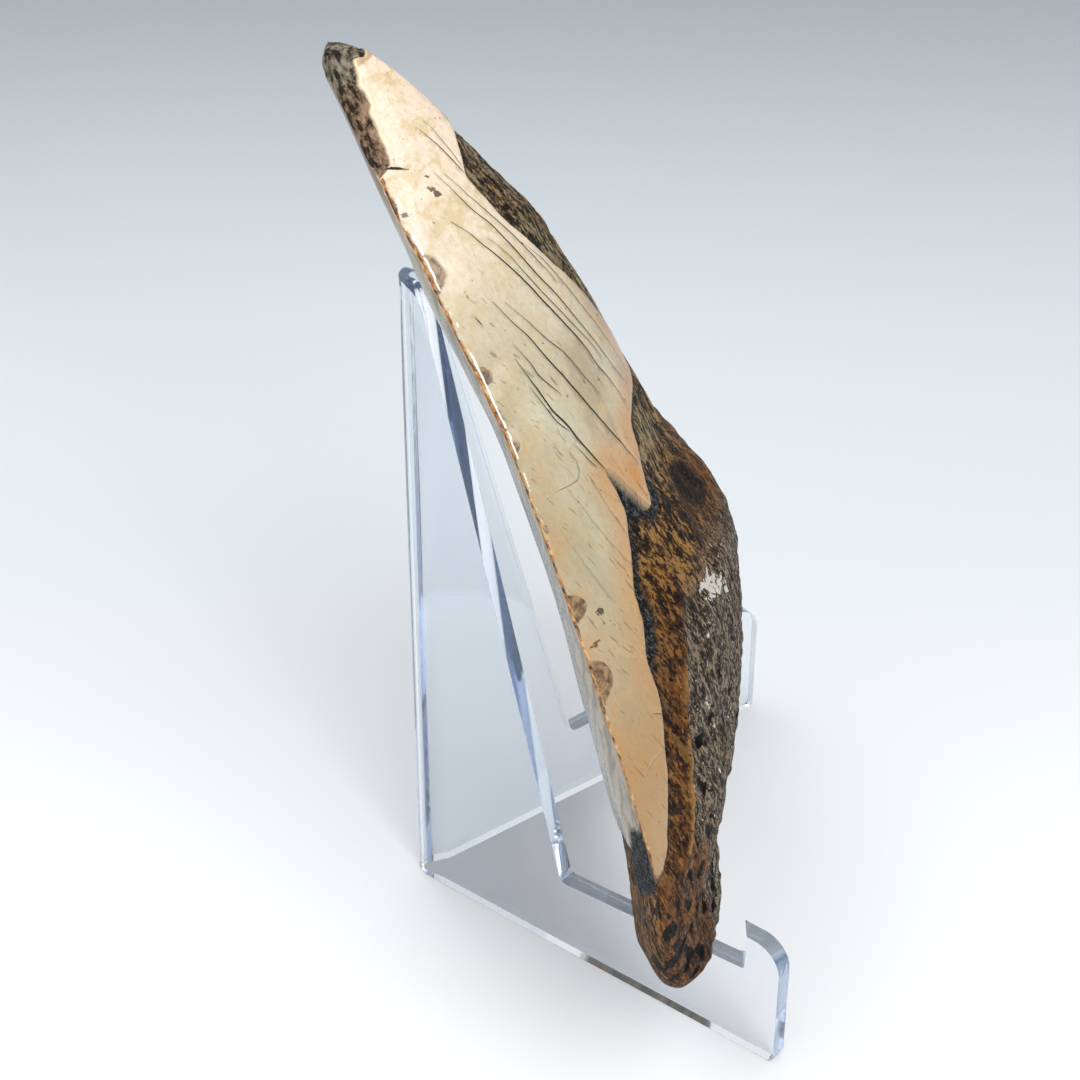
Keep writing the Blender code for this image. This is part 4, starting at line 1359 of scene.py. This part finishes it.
@dataclass(frozen=True)
class FossilFinish:
    """The tooth's finish: satin enamel in creams and tans, and a dark, fibrous and pitted core and root."""

    tip_pale: Colour = (238, 215, 191)
    creams: Tints = ((168, 152, 124), (190, 179, 152), (200, 194, 170))
    low_tan: Colour = (146, 120, 84)
    low_beige: Colour = (158, 134, 98)
    straw: Colour = (204, 182, 134)
    tip_line: Colour = (172, 140, 96)
    tan: Colour = (188, 124, 50)
    olive: Colour = (160, 156, 126)
    glow: Colour = (184, 128, 66)
    speckle: Colour = (150, 124, 88)
    streak: Colour = (134, 98, 62)
    hairline: Colour = (84, 60, 38)
    fleck: Colour = (96, 60, 32)
    stain: Colour = (78, 56, 26)
    crack: Colour = (16, 12, 10)
    scars: tuple[Colour, Colour] = ((70, 46, 28), (152, 122, 86))
    greys: tuple[Colour, Colour] = ((112, 106, 94), (160, 152, 136))
    # brown near the tip of the back face, partly its own tone and partly painted shade
    labial_brown_and_shade: Colour = (116, 88, 62)
    ambers: Tints = ((70, 42, 20), (164, 112, 58), (204, 164, 110))
    # painted highlight: the near-white line beside the cutting edge
    painted_highlight: Colour = (255, 250, 238)
    band_browns: Tints = ((56, 43, 31), (152, 124, 96), (200, 162, 134))
    cap_slates: Tints = ((50, 45, 38), (142, 128, 104), (180, 174, 156))
    band_rim: Colour = (252, 226, 184)
    fibres: Tints = ((14, 10, 7), (84, 55, 27), (182, 134, 72))
    grey_fibres: Tints = ((24, 20, 14), (112, 94, 68), (172, 154, 116))
    crust: tuple[Colour, Colour] = ((10, 12, 14), (98, 102, 104))
    hollow: tuple[Colour, Colour] = ((10, 12, 12), (84, 82, 66))
    rusts: Tints = ((22, 11, 4), (92, 48, 14), (140, 88, 36))
    porous: Tints = ((18, 14, 10), (88, 72, 54), (160, 142, 118))
    # painted highlight along the ledge's crest
    ledge: Colour = (196, 142, 80)
    chalk: Colour = (240, 234, 224)
    hole: Colour = (12, 9, 7)
    pale_from: Pair = (62.0, 84.0)  # heights up the slope, in millimetres
    tan_from: Pair = (52.0, 30.0)

    def make(self, effects: Effects) -> bpy.types.Material:
        """The material.

        Args:
            effects: The shared node groups.

        Returns:
            The tooth's one material, which reads the mesh's masks.
        """
        bench = MaterialBench("fossil_enamel_and_root", effects, on_skin=True)
        tint = bench.mix(bench.mask("enamel"), self.core(bench), self.enamel(bench))
        tint = self.worn_band(bench, tint)
        bench.set(Base_Color=bench.mix(bench.between(bench.mask("crack"), 0.4, 0.7), tint, self.crack))
        self.gloss(bench)
        return bench.material

    def enamel(self, bench: MaterialBench) -> Socket:
        """Colour of the enamel: creams with stains, streaks, specks, scars, the worn edge line and a painted highlight
        beside it.
        """
        height = bench.axes["Y"]
        broad = bench.grain(1.0, 0.17, 0.45, detail=6.0, bend=0.5)
        cloud = bench.grain(14.0, 0.33, detail=6.0, bend=0.8)
        fine = bench.grain(15.0, 2.2, 0.6, detail=8.0)
        tint = bench.layers(
            bench.blotch(broad, self.creams),
            (bench.between(height, *self.pale_from, 0.0, 0.85), self.tip_pale),
            (bench.between(height, *self.tan_from, 0.0, 0.8), self.low_tan),
            (bench.times(bench.between(cloud, 0.48, 0.6), bench.between(height, 84.0, 66.0, 0.75, 0.4)), self.straw),
            (bench.between(height, 93.7, 94.0, 0.0, 0.8), self.tip_line),
            (bench.times(bench.mask("tan"), 0.9), self.tan),
            (bench.times(bench.mask("olive"), bench.between(broad, 0.36, 0.64, 1.0, 0.35), 0.6), self.olive),
            (bench.times(bench.mask("glow"), bench.between(cloud, 0.36, 0.62, 0.25, 1.0), 0.55), self.glow),
            (bench.between(height, 25.0, 40.0, 0.75, 0.0), self.low_beige),
            (bench.times(bench.mask("labial"), 0.95), self.labial(bench)),
            (bench.between(fine, 0.4, 0.56, 0.16, 0.0), self.speckle),
        )
        streak = bench.specks(3.0, 6.4, 0.72, (1, 0.05, 1))
        hairline = bench.specks(26.0, 5.6, 0.64, (1, 0.014, 0.3))
        fleck = bench.specks(4.0, 2.2, 0.7, (1, 0.6, 1))
        scar = bench.mix(bench.between(bench.grain(6.0, 0.95, detail=8.0, bend=0.7), 0.4, 0.6), *self.scars)
        spot = bench.ragged(bench.mask("spot"), bench.grain(25.0, 3.4, detail=5.0, bend=0.5), 0.7)
        tint = bench.layers(
            tint,
            (bench.times(streak, bench.between(cloud, 0.42, 0.58, 0.25, 0.75)), self.streak),
            (bench.times(hairline, bench.between(height, 76.0, 68.0, 0.12, 0.5)), self.hairline),
            (bench.times(fleck, 0.7), self.fleck),
            (bench.between(bench.mask("scar"), 0.15, 0.4, 0.0, 0.9), scar),
            (bench.times(spot, 0.93), self.stain),
        )
        return self.edge_line(bench, tint)

    def labial(self, bench: MaterialBench) -> Socket:
        """Colour of the back face's enamel: streaked grey, and brown near the tip, darkened there as painted shade
        where the lamps light that strip.
        """
        streaks = bench.between(bench.grain(9.0, 1.3, 0.1, detail=7.0), 0.44, 0.56)
        # painted shade: near the tip the back face turns a dark brown, partly its own tone
        near_tip = bench.between(bench.axes["Y"], 80.0, 86.0, 0.0, 0.9)
        return bench.mix(near_tip, bench.mix(streaks, *self.greys), self.labial_brown_and_shade)

    def edge_line(self, bench: MaterialBench, under: Socket) -> Socket:
        """The colour with the thin amber line of the cutting edge, dark in its nicks, and a painted highlight beside
        it, a thin near-white line.

        Args:
            bench: The material's bench.
            under: The enamel's colour.

        Returns:
            The colour with the edge.
        """
        mask = bench.mask("edge")
        long_grain = bench.grain(7.0, 0.5, detail=3.0)
        nicks = bench.grain(20.0, 2.0, 0.3, detail=7.0, bend=0.4)
        stray = bench.times(bench.sum("SUBTRACT", bench.weighed((long_grain, 1.0), (nicks, 0.4)), 0.7), 0.9)
        steady = bench.weighed((mask, 1.0), (stray, 0.35))
        # painted highlight: a thin near-white line beside the cutting edge, laid into the colour
        painted_highlight = bench.times(
            bench.sum("SUBTRACT", bench.between(steady, 0.56, 0.6), bench.between(steady, 0.7, 0.74)),
            bench.between(bench.axes["Y"], 50.0, 60.0),
            bench.between(long_grain, 0.44, 0.5, 0.0, 0.8),
        )
        amber = bench.between(bench.sum("ADD", mask, stray), 0.72, 0.84)
        return bench.layers(under, (amber, bench.blotch(nicks, self.ambers, 1.6)), (painted_highlight, self.painted_highlight))

    def worn_band(self, bench: MaterialBench, under: Socket) -> Socket:
        """The colour with the dark band and cap at the tip, where the enamel is gone, in a thin cream line.

        Args:
            bench: The material's bench.
            under: The colour around the band.

        Returns:
            The colour with the band.
        """
        hair = bench.grain(19.0, 1.6, 0.35, detail=12.0, bend=0.25)
        brown, slate = (bench.blotch(hair, tints, 2.3) for tints in (self.band_browns, self.cap_slates))
        band = bench.mix(bench.between(bench.sum("ADD", bench.axes["Y"], hair), 91.6, 94.2), brown, slate)
        ragged = bench.stray(bench.mask("worn"), hair, 0.06)
        rim = bench.sum("SUBTRACT", bench.between(ragged, 0.43, 0.46), bench.between(ragged, 0.48, 0.5))
        return bench.layers(under, (bench.times(rim, 0.8), self.band_rim), (bench.between(ragged, 0.48, 0.51), band))

    def core(self, bench: MaterialBench) -> Socket:
        """Colour of the bare core and of the root."""
        fibres = bench.grain(2.0, 2.6, 0.12, detail=12.0, bend=0.25)
        patches = bench.grain(23.0, 0.42, 0.45, detail=4.0, bend=0.6)
        crumbs = bench.grain(27.0, 5.5, 0.4, detail=7.0)
        mixed = bench.weighed((fibres, 0.5), (patches, 0.18), (crumbs, 0.32))
        greyness = bench.times(bench.between(bench.axes["Y"], 41.0, 50.0), bench.between(patches, 0.4, 0.56, 0.45, 1.0))
        pitted = bench.weighed((bench.grain(5.0, 2.0, 0.4, detail=12.0, bend=0.3), 0.5), (crumbs, 0.5))
        dusty = bench.between(bench.grain(16.0, 0.16, detail=3.0), 0.42, 0.56, 0.25, 1.0)
        dust = bench.times(bench.specks(8.0, 4.4, 0.64, (1, 0.6, 1)), dusty)
        porous = bench.mix(dust, bench.blotch(pitted, self.porous, 3.6), self.chalk)
        mottle = bench.weighed((bench.grain(17.0, 0.8, 0.5, detail=13.0, bend=0.25), 0.6), (crumbs, 0.4))
        hair = bench.grain(11.0, 4.4, 0.7, detail=8.0, bend=0.7)
        flaky = bench.grain(24.0, 2.2, 0.7, detail=10.0, bend=0.5)
        return bench.layers(
            bench.blotch(mixed, self.fibres, 4.2),
            (greyness, bench.blotch(mixed, self.grey_fibres, 4.0)),
            (bench.mask("porous"), porous),
            (bench.times(bench.mask("rust"), 0.8), bench.blotch(mottle, self.rusts, 3.6)),
            (bench.mask("band"), bench.mix(bench.between(hair, 0.49, 0.6), *self.crust)),
            (bench.between(bench.stray(bench.mask("hollow"), fibres, 2.2), 0.55, 1.05, 0.0, 0.9),
             bench.mix(bench.between(hair, 0.54, 0.66), *self.hollow)),
            # painted highlight: the thin light ochre line along the ledge's crest
            (bench.mask("ledge"), self.ledge),
            (bench.times(bench.specks(18.0, 2.0, 0.63, (1, 0.35, 1)), 0.9), self.hole),
            (bench.between(bench.mask("hole"), 0.15, 0.5), self.hole),
            (bench.ragged(bench.mask("chalk"), flaky, 3.6), self.chalk),
        )  # fmt: skip

    def gloss(self, bench: MaterialBench) -> None:
        """Sheen and fine relief: satin on the enamel, dull and rough on the core and root."""
        enamel = bench.times(bench.mask("enamel"), bench.between(bench.mask("worn"), 0.46, 0.54, 1.0, 0.0))
        fine = bench.grain(12.0, 2.4, 0.4, detail=8.0)
        smooth, rough = bench.between(fine, 0.3, 0.7, 0.2, 0.36), bench.between(fine, 0.3, 0.7, 0.72, 0.46)
        dull = bench.times(bench.sum("MAXIMUM", bench.mask("crack"), bench.mask("scar")), 0.3)
        mixed = bench.add("ShaderNodeMix", {0: enamel, 2: rough, 3: smooth}, data_type="FLOAT").outputs[0]
        grit = bench.grain(13.0, 2.2, 0.28, detail=12.0, bend=0.3)
        coarse = bench.times(grit, bench.sum("SUBTRACT", 1.0, enamel))
        bench.relief(bench.sum("ADD", bench.times(fine, enamel, 0.05), coarse), 0.0018)
        bench.set(
            IOR=1.3,
            Roughness=bench.sum("ADD", mixed, dull, clamp=True),
            Coat_IOR=1.5,
            Coat_Roughness=0.16,
            Coat_Weight=bench.times(enamel, bench.between(dull, 0.0, 0.3, 0.75, 0.2)),
        )


@dataclass(frozen=True)
class ClearFinish:
    """The stand's finish: polished clear plastic, faintly blue through its length, with fine scratches."""

    tint: Colour = (247, 250, 253)
    depth_tint: Colour = (160, 190, 226)
    density: float = 16.0  # a metre
    ior: float = 1.49

    def make(self, effects: Effects) -> bpy.types.Material:
        """The material.

        Args:
            effects: The shared node groups.

        Returns:
            The clear material.
        """
        bench = MaterialBench("clear_moulded_plastic", effects)
        bench.set(Base_Color=linear(self.tint), Transmission_Weight=1.0, IOR=self.ior, Metallic=0.0)
        hairs = bench.specks(21.0, 900.0, 0.72, (1, 1, 0.06))
        bench.set(Roughness=bench.between(hairs, 0.0, 1.0, 0.03, 0.16))
        bench.relief(bench.grain(22.0, 38.0, detail=1.5), 0.0004, 0.12)
        depth = bench.add("ShaderNodeVolumeAbsorption", {"Color": linear(self.depth_tint), "Density": self.density})
        bench.feed(bench.tree.nodes["Material Output"].inputs["Volume"], depth.outputs[0])
        return bench.material


@dataclass(frozen=True)
class PaperFinish:
    """The floor's finish: a roll of pale paper painted from white in front to blue-grey behind, a painted shade in
    place of the light's falloff.
    """

    # painted shade: the floor darkens from white in front to blue-grey behind, in place of light falloff
    front: Colour = (250, 251, 252)
    middle: Colour = (214, 220, 224)
    rear: Colour = (146, 154, 159)
    middle_from: Pair = (-0.045, 0.075)  # metres to the right
    rear_from: Pair = (0.06, 0.3)
    roughness: float = 0.55

    def make(self, effects: Effects) -> bpy.types.Material:
        """The material.

        Args:
            effects: The shared node groups.

        Returns:
            The paper material.
        """
        bench = MaterialBench("pale_paper", effects)
        across = bench.axes["X"]
        # painted shade: the ramp along X stands in for the light falling off towards the rear
        tint = bench.mix(bench.between(across, *self.middle_from), self.front, self.middle)
        tint = bench.mix(bench.between(across, *self.rear_from), tint, self.rear)
        bench.set(Base_Color=tint, Roughness=self.roughness)
        bench.relief(bench.grain(31.0, 900.0, detail=3.0), 0.00005, 0.2)
        return bench.material


# ---------------------------------------------------------------- the studio


@dataclass(frozen=True)
class Lamp:
    """One soft light: where it is, its size, its power in watts and its tint."""

    name: str
    place: tuple[float, float, float]
    aim: tuple[float, float, float]
    size: Pair
    power: float
    tint: Colour = (255, 255, 255)

    def build(self) -> bpy.types.Object:
        """The light, aimed."""
        light = bpy.data.lights.new(self.name, "AREA")
        light.shape = "RECTANGLE"
        light.size, light.size_y = self.size
        light.energy = self.power
        light.color = linear(self.tint)[:3]
        holder = bpy.data.objects.new(self.name, light)
        holder.location = self.place
        holder.rotation_euler = (Vector(self.aim) - Vector(self.place)).to_track_quat("-Z", "Y").to_euler()
        bpy.context.scene.collection.objects.link(holder)
        return holder


@dataclass(frozen=True)
class Studio:
    """The floor, the soft lights and the camera."""

    camera_place: tuple[float, float, float] = (-0.21510, -0.01657, 0.19866)
    camera_aim: tuple[float, float, float] = (0.0, -0.01454, 0.04443)
    lens: float = 86.87
    sensor: float = 36.0
    clip: Pair = (0.01, 10.0)
    floor_size: float = 2.4
    floor_drop: float = 0.00005
    air_strength: float = 0.92
    air_tints: Tints = ((196, 206, 218), (255, 255, 255), (170, 184, 204))  # low down, overhead and to the right
    clear_bounces: int = 64  # light runs far inside the clear sheet before it leaves at an edge
    lamps: tuple[Lamp, ...] = (
        Lamp("key", (-0.24, -0.16, 0.42), (0.0, 0.0, 0.04), (0.3, 0.3), 0.8),
        Lamp("edge_card", (-0.50, -0.26, 0.24), (0.0, 0.0, 0.05), (0.08, 0.4), 0.5),
        Lamp("rear_fill", (0.10, 0.10, 0.25), (0.035, 0.01, 0.0), (0.14, 0.14), 0.13),
    )

    def build(self, effects: Effects, spine: float) -> None:
        """Sets up the studio.

        Args:
            effects: The shared node groups.
            spine: Where the stand's spine line is, front to back, in metres.
        """
        half = self.floor_size / 2.0
        mesh = bpy.data.meshes.new("floor")
        mesh.from_pydata([(-half, -half, 0), (half, -half, 0), (half, half, 0), (-half, half, 0)], [], [(0, 1, 2, 3)])
        floor = bpy.data.objects.new("floor", mesh)
        floor.location = (0.0, 0.0, -self.floor_drop)
        bpy.context.scene.collection.objects.link(floor)
        mesh.materials.append(PaperFinish().make(effects))
        for lamp in self.lamps:
            lamp.build()
        self.make_air()
        scene = bpy.context.scene
        scene.view_settings.view_transform = "Standard"
        light_paths = scene.cycles
        light_paths.max_bounces = light_paths.transmission_bounces = light_paths.glossy_bounces = self.clear_bounces
        self.make_camera(spine)

    def make_air(self) -> None:
        """The soft light from all round: white overhead, a little blue-grey low down."""
        world = bpy.data.worlds.new("studio_air")
        world.use_nodes = True
        bench = Bench(world.node_tree)
        axes = bench.add("ShaderNodeSeparateXYZ", {0: bench.add("ShaderNodeTexCoord").outputs["Generated"]}).outputs
        low, overhead, right = self.air_tints
        tint = bench.mix(bench.between(axes["Z"], 0.0, 0.6), low, overhead)
        tint = bench.mix(bench.between(axes["X"], 0.4, 1.0, 0.0, 0.3), tint, right)
        back = world.node_tree.nodes["Background"]
        bench.feed(back.inputs["Color"], tint)
        back.inputs["Strength"].default_value = self.air_strength
        bpy.context.scene.world = world

    def make_camera(self, spine: float) -> None:
        """The camera, with a long lens and a level horizon."""
        data = bpy.data.cameras.new("camera")
        data.lens = self.lens
        data.sensor_width = self.sensor
        data.clip_start, data.clip_end = self.clip
        holder = bpy.data.objects.new("camera", data)
        place, aim = (Vector(p) + Vector((0.0, spine, 0.0)) for p in (self.camera_place, self.camera_aim))
        holder.location = place
        holder.rotation_euler = (aim - place).to_track_quat("-Z", "Y").to_euler()
        bpy.context.scene.collection.objects.link(holder)
        bpy.context.scene.camera = holder


def spine_line(stand: ClearStand) -> float:
    """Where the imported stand's spine line is: its rearmost place and what the rounding took off there."""
    _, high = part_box("display_stand")
    trimmed = stand.packed_radius / math.sin(stand.wing_angle) - stand.packed_radius
    return high[1] + trimmed * MM


def main() -> None:
    """Builds the studio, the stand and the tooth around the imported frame."""
    logging.basicConfig(level=logging.INFO, format="%(message)s")
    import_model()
    effects = Effects()
    stand = ClearStand()
    spine = spine_line(stand)
    Studio().build(effects, spine)

    clear = stand.build(spine)
    clear.data.materials.append(ClearFinish().make(effects))
    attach(clear, "root")
    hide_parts("display_stand")

    tooth = FossilTooth().build(spine)
    tooth.data.materials.append(FossilFinish().make(effects))
    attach(tooth, "root")
    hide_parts("fossil_tooth")


if __name__ == "__main__":
    main()
